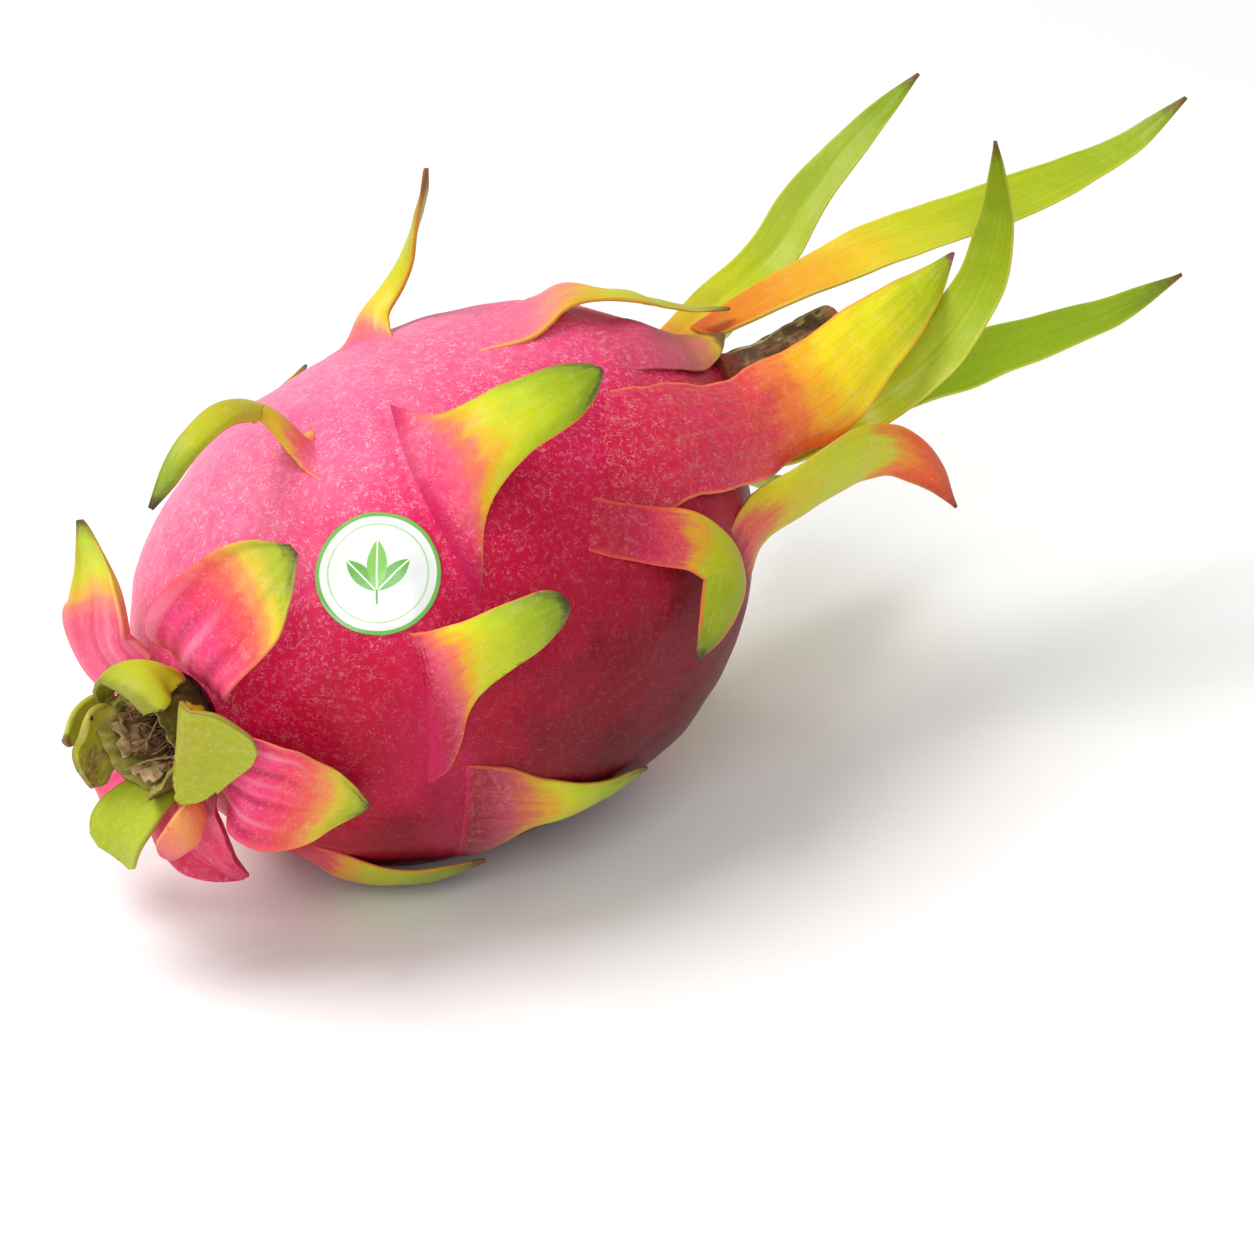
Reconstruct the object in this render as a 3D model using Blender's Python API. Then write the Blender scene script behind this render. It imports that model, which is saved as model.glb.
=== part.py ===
"""Dragon fruit (pitaya), whole, lying on its belly.

Frame: metres, +Z up. The origin is the centre of the small flat spot that the
fruit rests on. +X runs along the fruit from the navel (flower) end to the stem
end, -Y is the near side and +Y the far side.

The fruit body is a lathe-like form round a gently bent spine. Every bract and
leaf is a thin closed blade: a centreline that starts on the fruit or at the
crown, a width, a cross-curve and a thickness along it. All lengths in the
tables are in millimetres and all angles in degrees.
"""

import math

import bmesh
import bpy
import numpy as np
from mathutils import Vector
from mathutils.bvhtree import BVHTree

# ---------------------------------------------------------------- dimensions
MM = 0.001
GAP = 0.8  # clear space between a blade's root and the fruit, mm
STICKER_GAP = 0.5  # clear space under the sticker, mm
THIN = 0.55  # thinnest blade, mm
BODY_ROWS = 34
BODY_SIDES = 32
BLADE_ROWS = 11
BLADE_COLS = 4

# Radius of the fruit at stations along X, from the navel end to the stem end.
PROFILE = [
    (-70.0, 7.5), (-68.4, 12.0), (-65.6, 17.4), (-61.0, 24.0), (-54.0, 31.2),
    (-44.0, 37.8), (-30.0, 42.8), (-14.0, 45.1), (0.0, 45.5), (14.0, 44.3),
    (25.0, 40.4), (34.0, 33.6), (41.0, 25.4), (46.5, 17.8), (50.5, 11.6),
    (53.0, 7.4),
]
# The spine's height over the table and its sideways place: the stem end turns
# up and a little to the near side.
SPINE_Z = [
    (-70.0, 43.4), (-35.0, 44.0), (0.0, 44.2), (22.0, 45.4), (34.0, 49.4),
    (44.0, 56.4), (53.0, 65.4),
]
SPINE_Y = [(-70.0, 0.0), (18.0, 0.0), (36.0, -1.6), (46.0, -4.0), (53.0, -6.0)]
BELLY_GIVE = 1.3  # how far the belly would bulge below the table, on top of its roundness
NAVEL_PIT = 3.0  # depth of the hollow in the navel end
STEM_PIT = 1.2  # depth of the hollow that the stem sits in

STEM_BASE = (54.6, -11.6, 69.4)
STEM_TIP = (81.5, -13.5, 71.8)
STEM_RADIUS = 2.7

STICKER_AT = (-48.7, 43.4)  # station and angle of its centre
STICKER_RADIUS = 10.4
STICKER_THICK = 0.5


# ------------------------------------------------------------------- curves
def curve(table, x):
    """A smooth curve through (position, value) pairs that doesn't overshoot."""
    xs = np.array([a for a, _ in table], float)
    ys = np.array([b for _, b in table], float)
    h = np.diff(xs)
    d = np.diff(ys) / h
    m = np.zeros(len(xs))
    m[0], m[-1] = d[0], d[-1]
    for i in range(1, len(xs) - 1):
        m[i] = 0.0 if d[i - 1] * d[i] <= 0 else 2 * d[i - 1] * d[i] / (d[i - 1] + d[i])
    x = np.clip(np.asarray(x, float), xs[0], xs[-1])
    i = np.clip(np.searchsorted(xs, x) - 1, 0, len(xs) - 2)
    t = (x - xs[i]) / h[i]
    return (
        ys[i] * (2 * t**3 - 3 * t**2 + 1)
        + m[i] * h[i] * (t**3 - 2 * t**2 + t)
        + ys[i + 1] * (3 * t**2 - 2 * t**3)
        + m[i + 1] * h[i] * (t**3 - t**2)
    )


def smooth(t):
    t = np.clip(t, 0.0, 1.0)
    return t * t * (3 - 2 * t)


def unit(v):
    return v / np.maximum(np.linalg.norm(v, axis=-1, keepdims=True), 1e-12)


# ----------------------------------------------------------------- the fruit
def skin(x, th):
    """Points of the fruit's skin at station x and angle th (radians). th is 0 on
    top, 90 degrees on the near side and 180 degrees on the table."""
    x = np.asarray(x, float)
    th = np.asarray(th, float)
    r = curve(PROFILE, x) * (
        1.0
        + 0.008 * np.sin(3 * th + 0.9 + x / 30.0)
        + 0.005 * np.sin(5 * th + x / 17.0)
    )
    y = curve(SPINE_Y, x) - np.sin(th) * r
    # the belly gives a little where it bears on the table
    give = BELLY_GIVE * np.exp(-(((x + 7.0) / 30.0) ** 2)) * smooth((-np.cos(th) - 0.86) / 0.12)
    z = curve(SPINE_Z, x) + np.cos(th) * r - give
    return np.stack([x + 0 * th, y, np.maximum(z, 0.0)], -1)


def skin_normal(x, th):
    e = 1e-3
    dx = skin(x + e, th) - skin(x - e, th)
    dt = skin(x, th + e) - skin(x, th - e)
    return unit(np.cross(dx, dt)) * -1.0


def stations(rows):
    """Stations along X, closer together toward both ends."""
    t = np.linspace(0.0, math.pi, rows)
    mid = 0.5 * (PROFILE[0][0] + PROFILE[-1][0])
    half = 0.5 * (PROFILE[-1][0] - PROFILE[0][0])
    return mid - half * np.cos(t)


def build_body(rows, sides):
    th = np.arange(sides) * 2 * math.pi / sides
    rings = [skin(np.full(sides, x), th) for x in stations(rows)]
    # a small hollow in each end
    for at, depth in ((0, NAVEL_PIT), (-1, -STEM_PIT)):
        rim = rings[at]
        mid = rim.mean(axis=0)
        floor = mid + (rim - mid) * 0.55
        floor[:, 0] += depth
        rings.insert(0 if at == 0 else len(rings), floor)
    verts = np.concatenate(rings)
    n = len(rings)
    faces = []
    for i in range(n - 1):
        for j in range(sides):
            k = (j + 1) % sides
            faces.append((i * sides + j, i * sides + k, (i + 1) * sides + k, (i + 1) * sides + j))
    faces.append(tuple(reversed(range(sides))))
    faces.append(tuple(range((n - 1) * sides, n * sides)))
    return verts, faces


# ---------------------------------------------------------------- the blades
def centreline(points, start, n):
    """A smooth curve through the points, leaving the first one along start."""
    p = np.array(points, float)
    c = np.concatenate([[0.0], np.cumsum(np.linalg.norm(np.diff(p, axis=0), axis=1))])
    m = np.zeros_like(p)
    for i in range(1, len(p) - 1):
        a, b = c[i] - c[i - 1], c[i + 1] - c[i]
        m[i] = ((p[i] - p[i - 1]) / a * b + (p[i + 1] - p[i]) / b * a) / (a + b)
    m[-1] = (p[-1] - p[-2]) / (c[-1] - c[-2]) * 1.5 - m[-2] * 0.5 if len(p) > 2 else (p[-1] - p[-2]) / (c[-1] - c[-2])
    m[0] = start if start is not None else ((p[1] - p[0]) / (c[1] - c[0]) * 1.5 - m[1] * 0.5 if len(p) > 2 else m[-1])
    dense = []
    for s in np.linspace(0.0, c[-1], 200):
        i = min(np.searchsorted(c, s, side="right") - 1, len(p) - 2)
        h = c[i + 1] - c[i]
        t = (s - c[i]) / h
        dense.append(
            p[i] * (2 * t**3 - 3 * t**2 + 1)
            + m[i] * h * (t**3 - 2 * t**2 + t)
            + p[i + 1] * (3 * t**2 - 2 * t**3)
            + m[i + 1] * h * (t**3 - t**2)
        )
    dense = np.array(dense)
    run = np.concatenate([[0.0], np.cumsum(np.linalg.norm(np.diff(dense, axis=0), axis=1))])
    at = np.linspace(0.0, run[-1], n)
    return np.stack([np.interp(at, run, dense[:, k]) for k in range(3)], -1)


def near_skin(tree, points):
    """Nearest points on the fruit with the outward normals there."""
    found = np.empty_like(points)
    normals = np.empty_like(points)
    for i, p in enumerate(points):
        loc, nor, _, _ = tree.find_nearest(Vector(p))
        found[i], normals[i] = loc, nor
    return found, normals


def blade_grid(b, tree, rows, cols, gap):
    """The blade's middle surface as a rows x cols grid, with its normals and
    thickness."""
    if "root" in b:
        x, th = b["root"][0], math.radians(b["root"][1])
        p0, n0 = skin(x, th), skin_normal(x, th)
        p0 = p0 + n0 * (gap + 0.5 * b["thick"][0][1])
        if "head" in b:
            # heading in the skin's own plane: 0 is toward the stem end
            e = 1e-3
            ahead = unit(skin(x + e, th) - skin(x - e, th))
            flat = ahead * math.cos(math.radians(b["head"])) + np.cross(ahead, n0) * math.sin(math.radians(b["head"]))
        else:
            toward = np.array(b["path"][0], float) - p0
            flat = toward - n0 * np.dot(toward, n0)
        lift = math.radians(b.get("lift", 12.0))
        start = unit(flat) * math.cos(lift) + n0 * math.sin(lift)
    else:
        p0 = np.array(b["base"], float)
        n0 = unit(np.array(b["face"], float))
        start = None
    n = 120
    line = centreline([p0, *b["path"]], start, n)
    t = unit(np.gradient(line, axis=0))
    nor = np.empty_like(t)
    cur = n0
    for i in range(n):
        cur = unit(cur - t[i] * np.dot(cur, t[i]))
        nor[i] = cur
    v = np.linspace(0.0, 1.0, n)
    tw = np.radians(curve(b["twist"], v)) if "twist" in b else np.zeros(n)
    side = np.cross(t, nor)
    nor, side = (
        nor * np.cos(tw)[:, None] + side * np.sin(tw)[:, None],
        side * np.cos(tw)[:, None] - nor * np.sin(tw)[:, None],
    )
    rv = np.linspace(0.0, 1.0, rows)
    pick = lambda a: np.stack([np.interp(rv, v, a[:, k]) for k in range(3)], -1)
    line, nor, side, ahead = pick(line), unit(pick(nor)), unit(pick(side)), unit(pick(t))
    width = curve(b["width"], rv)
    cup = np.radians(curve(b["cup"], rv)) if "cup" in b else np.zeros(rows)
    skew = curve(b["skew"], rv) if "skew" in b else np.zeros(rows)
    fold = curve(b["fold"], rv) if "fold" in b else np.zeros(rows)
    u = np.linspace(-1.0, 1.0, cols)
    half = width[:, None] / 2
    a = cup[:, None] / 2 * u[None, :]
    safe = np.where(np.abs(cup) < 1e-3, 1e-3, cup)[:, None] / 2
    out = np.where(np.abs(cup)[:, None] < 1e-3, half * u[None, :], half * np.sin(a) / safe)
    down = np.where(np.abs(cup)[:, None] < 1e-3, 0.0, half * (1 - np.cos(a)) / safe)
    up = fold[:, None] * np.sqrt(u[None, :] ** 2 + 0.02) * half
    wave = b.get("wave", 0.0)
    if wave:
        up = up + wave * u[None, :] ** 2 * np.sin(rv[:, None] * 9.0 + 2.0 * np.sign(u)[None, :]) * smooth(rv[:, None] * 3)
    # the root line may run aslant or bulge along the centreline
    along = (b.get("bulge", 0.0) * (1 - u**2) - b.get("slant", 0.0) * u)[None, :] * (1 - rv[:, None]) ** 2
    grid = (
        line[:, None, :]
        + side[:, None, :] * (out + skew[:, None])[..., None]
        + nor[:, None, :] * (up - down)[..., None]
        + ahead[:, None, :] * along[..., None]
    )
    thick = np.maximum(curve(b["thick"], rv), THIN)[:, None] * (1 - 0.45 * u[None, :] ** 2)
    thick = np.maximum(thick, THIN)
    if "root" in b:
        # the root lies along the skin and the blade lifts away from it
        hold = b.get("hold", 0.3)
        k = smooth(rv[:, None] / (hold * (1 + b.get("hug", 0.6) * u[None, :] ** 2)))
        flat = grid.reshape(-1, 3)
        near, nn = near_skin(tree, flat)
        lay = (near + nn * (gap + thick.reshape(-1, 1) / 2)).reshape(grid.shape)
        grid = lay + (grid - lay) * k[..., None]
    du = np.gradient(grid, axis=1)
    dv = np.gradient(grid, axis=0)
    normal = unit(np.cross(du, dv))
    flip = np.sign((normal * nor[:, None, :]).sum(-1).mean())
    return grid, normal * (flip or 1.0), thick, flip


def close_sheet(top, low):
    """One closed body from an upper and a lower grid of the same size."""
    rows, cols = top.shape[:2]
    n = rows * cols
    verts = np.concatenate([top.reshape(-1, 3), low.reshape(-1, 3)])
    g = lambda i, j, s: s * n + i * cols + j
    faces = []
    for i in range(rows - 1):
        for j in range(cols - 1):
            faces.append((g(i, j, 0), g(i, j + 1, 0), g(i + 1, j + 1, 0), g(i + 1, j, 0)))
            faces.append((g(i, j, 1), g(i + 1, j, 1), g(i + 1, j + 1, 1), g(i, j + 1, 1)))
    edge = (
        [(0, j) for j in range(cols)]
        + [(i, cols - 1) for i in range(1, rows)]
        + [(rows - 1, j) for j in range(cols - 2, -1, -1)]
        + [(i, 0) for i in range(rows - 2, 0, -1)]
    )
    for (a, b_), (c, d) in zip(edge, edge[1:] + edge[:1]):
        faces.append((g(a, b_, 0), g(a, b_, 1), g(c, d, 1), g(c, d, 0)))
    return verts, faces


def build_blade(b, tree, rows, cols):
    room_under = b.get("gap", GAP)
    grid, normal, thick, _ = blade_grid(b, tree, rows, cols, room_under)
    top = grid + normal * thick[..., None] / 2
    low = grid - normal * thick[..., None] / 2
    if b.get("clear", True):
        # nothing of the blade comes nearer to the fruit than the gap
        for sheet, room in ((top, room_under + THIN), (low, room_under)):
            flat = sheet.reshape(-1, 3)
            near, nn = near_skin(tree, flat)
            gap = ((flat - near) * nn).sum(1)
            push = np.where((gap < room) & (np.linalg.norm(flat - near, axis=1) < 12.0), room - gap, 0.0)
            flat += nn * push[:, None]
    floor = b.get("floor", 0.4)
    low[..., 2] = np.maximum(low[..., 2], floor)
    top[..., 2] = np.maximum(top[..., 2], floor + THIN)
    return close_sheet(top, low)


# ------------------------------------------------------------ blade families
TONGUE = dict(
    width=[(0.0, 1.0), (0.12, 0.86), (0.3, 0.52), (0.5, 0.33), (0.72, 0.27), (0.88, 0.19), (1.0, 0.03)],
    thick=[(0.0, 1.2), (0.2, 2.4), (0.6, 1.6), (1.0, 0.8)],
)
PETAL = dict(
    width=[(0.0, 0.62), (0.2, 0.86), (0.45, 1.0), (0.65, 0.92), (0.85, 0.55), (1.0, 0.05)],
    thick=[(0.0, 1.6), (0.5, 1.3), (1.0, 0.8)],
)
STRAP = dict(
    width=[(0.0, 0.62), (0.2, 0.86), (0.45, 1.0), (0.7, 0.8), (0.88, 0.44), (1.0, 0.05)],
    thick=[(0.0, 1.8), (0.5, 1.2), (1.0, 0.7)],
)


def blade(family, wide, path, root=None, base=None, face=None, **more):
    b = dict(path=path, **more)
    b["width"] = [(v, w * wide) for v, w in (more.get("width") or family["width"])]
    b["thick"] = more.get("thick", family["thick"])
    if root is not None:
        b["root"] = root
    else:
        b["base"], b["face"] = base, face
    return b


NAVEL = dict(thick=[(0.0, 1.6), (0.5, 2.0), (1.0, 1.1)])

# Name: how the blade runs. Roots are (station, angle) on the fruit; paths are
# points (x, y, z) that the centreline passes through.
BLADES = {
    # -- side bracts: the green-tipped tongues on the fruit
    "side_bract_upper_near": blade(
        TONGUE, 41.0, [(-27.0, -29.0, 88.5), (-17.0, -32.5, 92.5), (-5.0, -34.0, 94.6)],
        root=(-34.0, 34.0), lift=16.0, hold=0.36, gap=1.0, slant=5.5, bulge=-1.5, cols=7, cup=[(0, 50), (0.3, 45), (0.6, 55), (1, 40)],
        width=[(0.0, 1.0), (0.15, 0.74), (0.32, 0.43), (0.5, 0.34), (0.75, 0.3), (0.9, 0.2), (1.0, 0.03)],
    ),
    "side_bract_middle_near": blade(
        TONGUE, 26.0, [(-44.5, -40.5, 57.0), (-38.5, -47.0, 63.0), (-31.5, -51.0, 66.8)],
        root=(-50.5, 83.0), head=-22.0, lift=16.0, hold=0.36, slant=8.0, bulge=2.0, cols=7, cup=[(0, 45), (0.3, 40), (0.6, 50), (1, 40)],
        width=[(0.0, 1.0), (0.15, 0.8), (0.32, 0.54), (0.5, 0.43), (0.75, 0.37), (0.9, 0.28), (1.0, 0.1)],
    ),
    "side_bract_low_near": blade(
        TONGUE, 32.0, [(-25.0, -38.5, 19.5), (-9.0, -38.5, 17.0), (2.0, -38.0, 17.5)],
        root=(-41.0, 124.0), head=-6.0, lift=5.0, hold=0.55, slant=-4.0, cols=7, cup=[(0, 50), (0.5, 50), (1, 30)],
        width=[(0.0, 1.0), (0.2, 0.85), (0.38, 0.52), (0.55, 0.34), (0.8, 0.24), (1.0, 0.03)],
    ),
    "side_bract_top_curled": blade(
        TONGUE, 17.5, [(-47.5, 3.0, 90.0), (-58.5, 1.0, 93.8), (-66.0, 0.0, 91.9), (-75.5, 0.0, 83.0)],
        root=(-40.5, 4.5), head=180.0, lift=40.0, hold=0.16, slant=6.0, rows=13, cup=[(0, 25), (0.5, 40), (1, 60)],
        width=[(0.0, 1.0), (0.1, 0.7), (0.2, 0.42), (0.35, 0.33), (0.6, 0.3), (0.85, 0.22), (1.0, 0.03)],
    ),
    "side_bract_top_upright": blade(
        TONGUE, 18.0, [(-2.5, 23.0, 88.5), (2.0, 22.5, 92.5), (4.6, 21.0, 98.0), (4.8, 18.0, 106.0), (4.2, 15.0, 115.2)],
        root=(-11.0, -26.0), lift=12.0, hold=0.2, cup=[(0, 30), (0.5, 60), (1, 30)], twist=[(0, 0), (1, -35)],
        width=[(0.0, 1.0), (0.15, 0.66), (0.35, 0.42), (0.6, 0.36), (0.85, 0.2), (1.0, 0.03)],
    ),
    "side_bract_shoulder_near": blade(
        TONGUE, 11.0, [(0.4, -42.0, 64.4), (7.6, -45.8, 61.8), (10.6, -48.8, 57.0), (6.4, -51.2, 51.0), (0.5, -51.4, 44.2)],
        root=(-14.5, 53.2), lift=1.0, hold=0.4, cup=[(0, 18), (0.5, 30), (1, 30)],
        width=[(0.0, 0.88), (0.25, 0.9), (0.5, 1.0), (0.72, 0.9), (0.88, 0.55), (1.0, 0.05)],
        thick=[(0.0, 0.7), (0.4, 0.9), (0.6, 1.2), (1.0, 0.8)],
    ),
    "side_bract_upper_far": blade(
        TONGUE, 34.0, [(-17.0, 39.0, 66.0), (-7.0, 43.5, 67.0), (3.0, 46.5, 69.5)],
        root=(-31.0, -70.0), head=0.0, lift=12.0, hold=0.4, slant=3.0, cols=7, cup=[(0, 48), (0.5, 50), (1, 40)],
    ),
    "side_bract_middle_far": blade(
        TONGUE, 32.0, [(-34.0, 41.0, 35.0), (-22.0, 47.5, 36.5), (-13.0, 52.5, 40.0)],
        root=(-48.0, -104.0), lift=14.0, hold=0.4, slant=-2.0, gap=1.0, cup=[(0, 45), (0.5, 45), (1, 40)],
    ),
    "side_bract_low_far": blade(
        TONGUE, 28.0, [(0.0, 34.0, 15.0), (12.0, 35.0, 12.5), (23.0, 34.5, 12.5)],
        root=(-16.0, -126.0), head=0.0, lift=6.0, hold=0.5, slant=3.0, cols=7, cup=[(0, 40), (0.5, 45), (1, 30)],
    ),
    "side_bract_shoulder_far": blade(
        TONGUE, 28.0, [(17.0, 44.0, 47.5), (28.0, 46.0, 46.5), (39.0, 49.5, 49.0)],
        root=(2.0, -90.0), head=0.0, lift=8.0, hold=0.42, slant=-2.0, cols=7, cup=[(0, 38), (0.5, 45), (1, 40)],
    ),
    "belly_bract_near": blade(
        PETAL, 16.0, [(-49.0, -14.0, 8.6), (-38.0, -21.5, 5.4), (-27.5, -27.0, 7.0)],
        root=(-56.0, 163.0), lift=0.0, hold=0.3, cup=[(0, 30), (1, 50)],
    ),
    "belly_bract_far": blade(
        TONGUE, 24.0, [(-38.0, 20.0, 6.6), (-27.0, 24.5, 4.6), (-17.0, 28.5, 5.4)],
        root=(-51.0, -152.0), lift=0.0, hold=0.45, cols=7, cup=[(0, 36), (0.5, 40), (1, 30)],
    ),
    "belly_bract_stem_end": blade(
        TONGUE, 26.0, [(34.0, -7.0, 15.0), (44.0, -9.5, 17.0), (54.0, -12.0, 15.5)],
        root=(21.0, 168.0), lift=2.0, hold=0.4, gap=1.1, cols=7, cup=[(0, 40), (0.5, 45), (1, 30)],
    ),
    # -- crown bracts: long bracts whose roots lie on the shoulder of the fruit
    "crown_bract_near": blade(
        STRAP, 26.0, [(8.0, -34.0, 76.6), (21.0, -34.5, 75.0), (38.0, -33.0, 70.8), (55.5, -31.5, 70.8), (71.5, -31.0, 75.0), (84.0, -31.0, 79.3), (96.5, -30.0, 84.6)],
        root=(-3.0, 44.5), lift=3.0, hold=0.42, gap=2.25, slant=6.0, bulge=-2.5, rows=15, cup=[(0, 34), (0.4, 34), (0.7, 50), (1, 40)],
        width=[(0.0, 1.0), (0.2, 0.88), (0.4, 0.76), (0.6, 0.72), (0.8, 0.5), (0.92, 0.25), (1.0, 0.02)],
        thick=[(0.0, 1.6), (0.3, 2.2), (0.6, 1.6), (1.0, 0.8)],
    ),
    "crown_bract_top": blade(
        STRAP, 25.0, [(10.0, -1.5, 91.6), (19.0, -2.5, 92.4), (32.0, -4.0, 89.0), (45.5, -5.0, 82.8), (59.5, -7.0, 78.4)],
        root=(1.5, -3.0), lift=10.0, hold=0.3, slant=9.0, cup=[(0, 30), (0.4, 30), (1, 30)],
        width=[(0.0, 1.0), (0.2, 0.62), (0.4, 0.4), (0.7, 0.3), (0.9, 0.16), (1.0, 0.03)],
        thick=[(0.0, 1.4), (0.3, 2.0), (0.6, 1.4), (1.0, 0.8)],
    ),
    "crown_bract_inner": blade(
        STRAP, 15.0, [(24.0, -13.5, 85.2), (36.0, -13.5, 79.5), (46.0, -12.5, 77.0), (54.0, -10.5, 76.0)],
        root=(13.0, 17.0), lift=2.0, hold=0.6, cup=[(0, 22), (0.5, 40), (1, 30)],
        width=[(0.0, 1.0), (0.3, 1.0), (0.6, 0.8), (0.85, 0.45), (1.0, 0.05)],
        thick=[(0.0, 0.9), (0.5, 1.1), (1.0, 0.7)],
    ),
    "crown_bract_arched": blade(
        STRAP, 13.5, [(32.5, -39.4, 55.4), (42.5, -40.6, 58.2), (55.0, -40.3, 59.4), (69.0, -39.5, 56.2), (81.5, -39.5, 47.0), (88.0, -39.5, 38.5)],
        root=(22.0, 83.0), lift=8.0, hold=0.2, rows=14, cup=[(0, 22), (0.5, 40), (1, 50)],
        width=[(0.0, 1.0), (0.25, 0.85), (0.5, 0.82), (0.75, 0.62), (0.9, 0.34), (1.0, 0.04)],
    ),
    "crown_bract_far": blade(
        STRAP, 24.0, [(24.0, 31.8, 74.0), (39.0, 28.0, 67.0), (54.0, 27.5, 61.5), (70.0, 31.0, 61.0)],
        root=(8.0, -45.0), head=4.0, lift=3.0, hold=0.36, rows=13, cup=[(0, 30), (0.5, 36), (1, 40)],
        width=[(0.0, 1.0), (0.2, 0.84), (0.4, 0.7), (0.65, 0.6), (0.85, 0.34), (1.0, 0.03)],
    ),
    "crown_bract_low": blade(
        STRAP, 24.0, [(39.0, 20.0, 34.0), (50.0, 20.0, 37.0), (64.0, 21.0, 37.5), (78.0, 22.0, 32.0)],
        root=(27.0, -125.0), lift=8.0, hold=0.36, gap=1.0, rows=12, cols=7, cup=[(0, 38), (0.5, 40), (1, 50)],
        width=[(0.0, 1.0), (0.2, 0.78), (0.45, 0.6), (0.7, 0.5), (0.88, 0.28), (1.0, 0.03)],
    ),
    # -- crown leaves: the free green blades round the stem
    "crown_leaf_rear": blade(
        STRAP, 10.0, [(64.0, 3.5, 72.5), (74.5, 6.5, 72.6), (82.5, 7.0, 73.9), (89.5, 6.0, 78.5), (95.0, 5.0, 84.5), (101.0, 4.0, 90.5), (110.5, 2.0, 98.0), (122.0, -1.0, 106.2)],
        base=(53.5, 1.0, 72.0), face=(-0.3, -0.4, 1.0), rows=15, fold=[(0, 0.2), (0.5, 0.3), (1, 0.1)],
    ),
    "crown_leaf_middle": blade(
        STRAP, 12.0, [(64.0, -6.5, 76.0), (75.0, -12.5, 81.0), (89.0, -20.5, 85.8), (111.5, -29.0, 89.2), (138.0, -39.0, 96.8), (149.5, -44.0, 104.3)],
        base=(54.8, -5.5, 74.6), face=(-0.3, 0.1, 1.0), rows=15, fold=[(0, 0.1), (0.5, 0.2), (1, 0.1)], twist=[(0, 0), (0.3, 15), (1, 25)],
    ),
    "crown_leaf_upright": blade(
        STRAP, 11.5, [(64.0, -21.5, 58.5), (75.4, -24.4, 57.4), (81.8, -31.0, 63.7), (89.6, -35.2, 71.4), (95.6, -37.8, 81.4), (96.8, -39.8, 94.1), (93.2, -41.0, 110.0)],
        base=(55.0, -15.8, 60.0), face=(-0.2, -0.4, 0.9), rows=15, fold=[(0, 0.15), (0.5, 0.25), (1, 0.1)], twist=[(0, 0), (1, 15)],
    ),
    "crown_leaf_front": blade(
        STRAP, 11.5, [(62.5, -16.5, 51.4), (74.8, -18.5, 54.0), (84.8, -23.0, 57.0), (104.5, -30.2, 60.4), (118.5, -37.0, 63.2), (133.0, -42.0, 65.2), (147.5, -47.0, 69.6)],
        base=(52.2, -13.2, 53.6), face=(0.0, -0.3, 0.95), rows=15, fold=[(0, 0.15), (0.5, 0.2), (1, 0.1)], twist=[(0, 0), (1, 15)],
    ),
    "crown_leaf_far": blade(
        STRAP, 12.0, [(65.0, 12.0, 58.0), (84.0, 23.0, 52.0), (103.0, 32.0, 48.5), (117.0, 36.0, 50.5)],
        base=(54.0, 4.5, 62.5), face=(0.1, 0.3, 0.95), rows=13, fold=[(0, 0.15), (0.5, 0.25), (1, 0.1)], twist=[(0, 0), (1, -20)],
    ),
    "crown_leaf_low": blade(
        STRAP, 12.0, [(64.0, -1.0, 43.5), (78.0, 0.0, 34.0), (92.0, 1.0, 28.0), (105.0, 2.0, 27.5)],
        base=(54.0, -3.5, 53.6), face=(0.5, 0.0, 0.9), rows=13, fold=[(0, 0.15), (0.5, 0.25), (1, 0.1)], twist=[(0, 0), (1, 15)],
    ),
    # -- petal bracts: they open out round the navel end
    "petal_bract_top": blade(
        PETAL, 20.0, [(-75.5, -8.5, 58.5), (-72.5, -13.0, 67.0), (-62.0, -19.0, 77.0)],
        base=(-70.9, -5.0, 52.5), face=(-0.9, -0.2, 0.2), cup=[(0, 20), (0.5, -20), (1, 10)], rows=12, cols=7,
        width=[(0.0, 0.6), (0.2, 0.85), (0.45, 1.0), (0.65, 0.95), (0.85, 0.62), (1.0, 0.1)],
    ),
    "petal_bract_near": blade(
        PETAL, 23.5, [(-73.6, -16.5, 39.0), (-68.5, -23.0, 36.0), (-57.6, -29.6, 31.6)],
        base=(-71.8, -8.6, 39.4), face=(-0.9, -0.4, 0.0), cup=[(0, 20), (0.5, -16), (1, 10)], rows=12, cols=7,
        width=[(0.0, 0.5), (0.2, 0.8), (0.45, 1.0), (0.65, 0.84), (0.85, 0.44), (1.0, 0.06)],
    ),
    "petal_bract_far": blade(
        PETAL, 21.0, [(-72.0, 15.5, 50.5), (-70.6, 19.0, 59.0), (-70.2, 24.4, 71.3)],
        base=(-71.2, 8.6, 47.0), face=(-0.9, 0.3, 0.0), cup=[(0, 20), (0.5, -20), (1, 10)], rows=12, cols=7,
        width=[(0.0, 0.5), (0.2, 0.8), (0.42, 1.0), (0.6, 0.8), (0.75, 0.5), (0.88, 0.26), (1.0, 0.05)],
    ),
    "petal_bract_low": blade(
        PETAL, 17.0, [(-73.6, -3.5, 26.0), (-71.8, -7.5, 18.6), (-68.4, -10.5, 15.4)],
        base=(-71.0, -2.0, 33.4), face=(-0.9, 0.0, -0.1), cup=[(0, 20), (0.5, 30), (1, 20)], rows=12, cols=7,
        width=[(0.0, 0.62), (0.2, 0.86), (0.45, 1.0), (0.65, 0.92), (0.85, 0.6), (1.0, 0.2)],
    ),
    "petal_bract_low_far": blade(
        PETAL, 16.0, [(-73.5, 16.0, 27.5), (-70.5, 24.0, 20.5), (-63.0, 30.0, 15.0)],
        base=(-71.0, 7.6, 36.2), face=(-0.9, 0.3, -0.1), cup=[(0, 20), (0.5, -20), (1, 10)], rows=12, cols=7,
    ),
    # -- navel bracts: the thick dried ring round the hollow at the flower end
    "navel_bract_top": blade(
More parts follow.
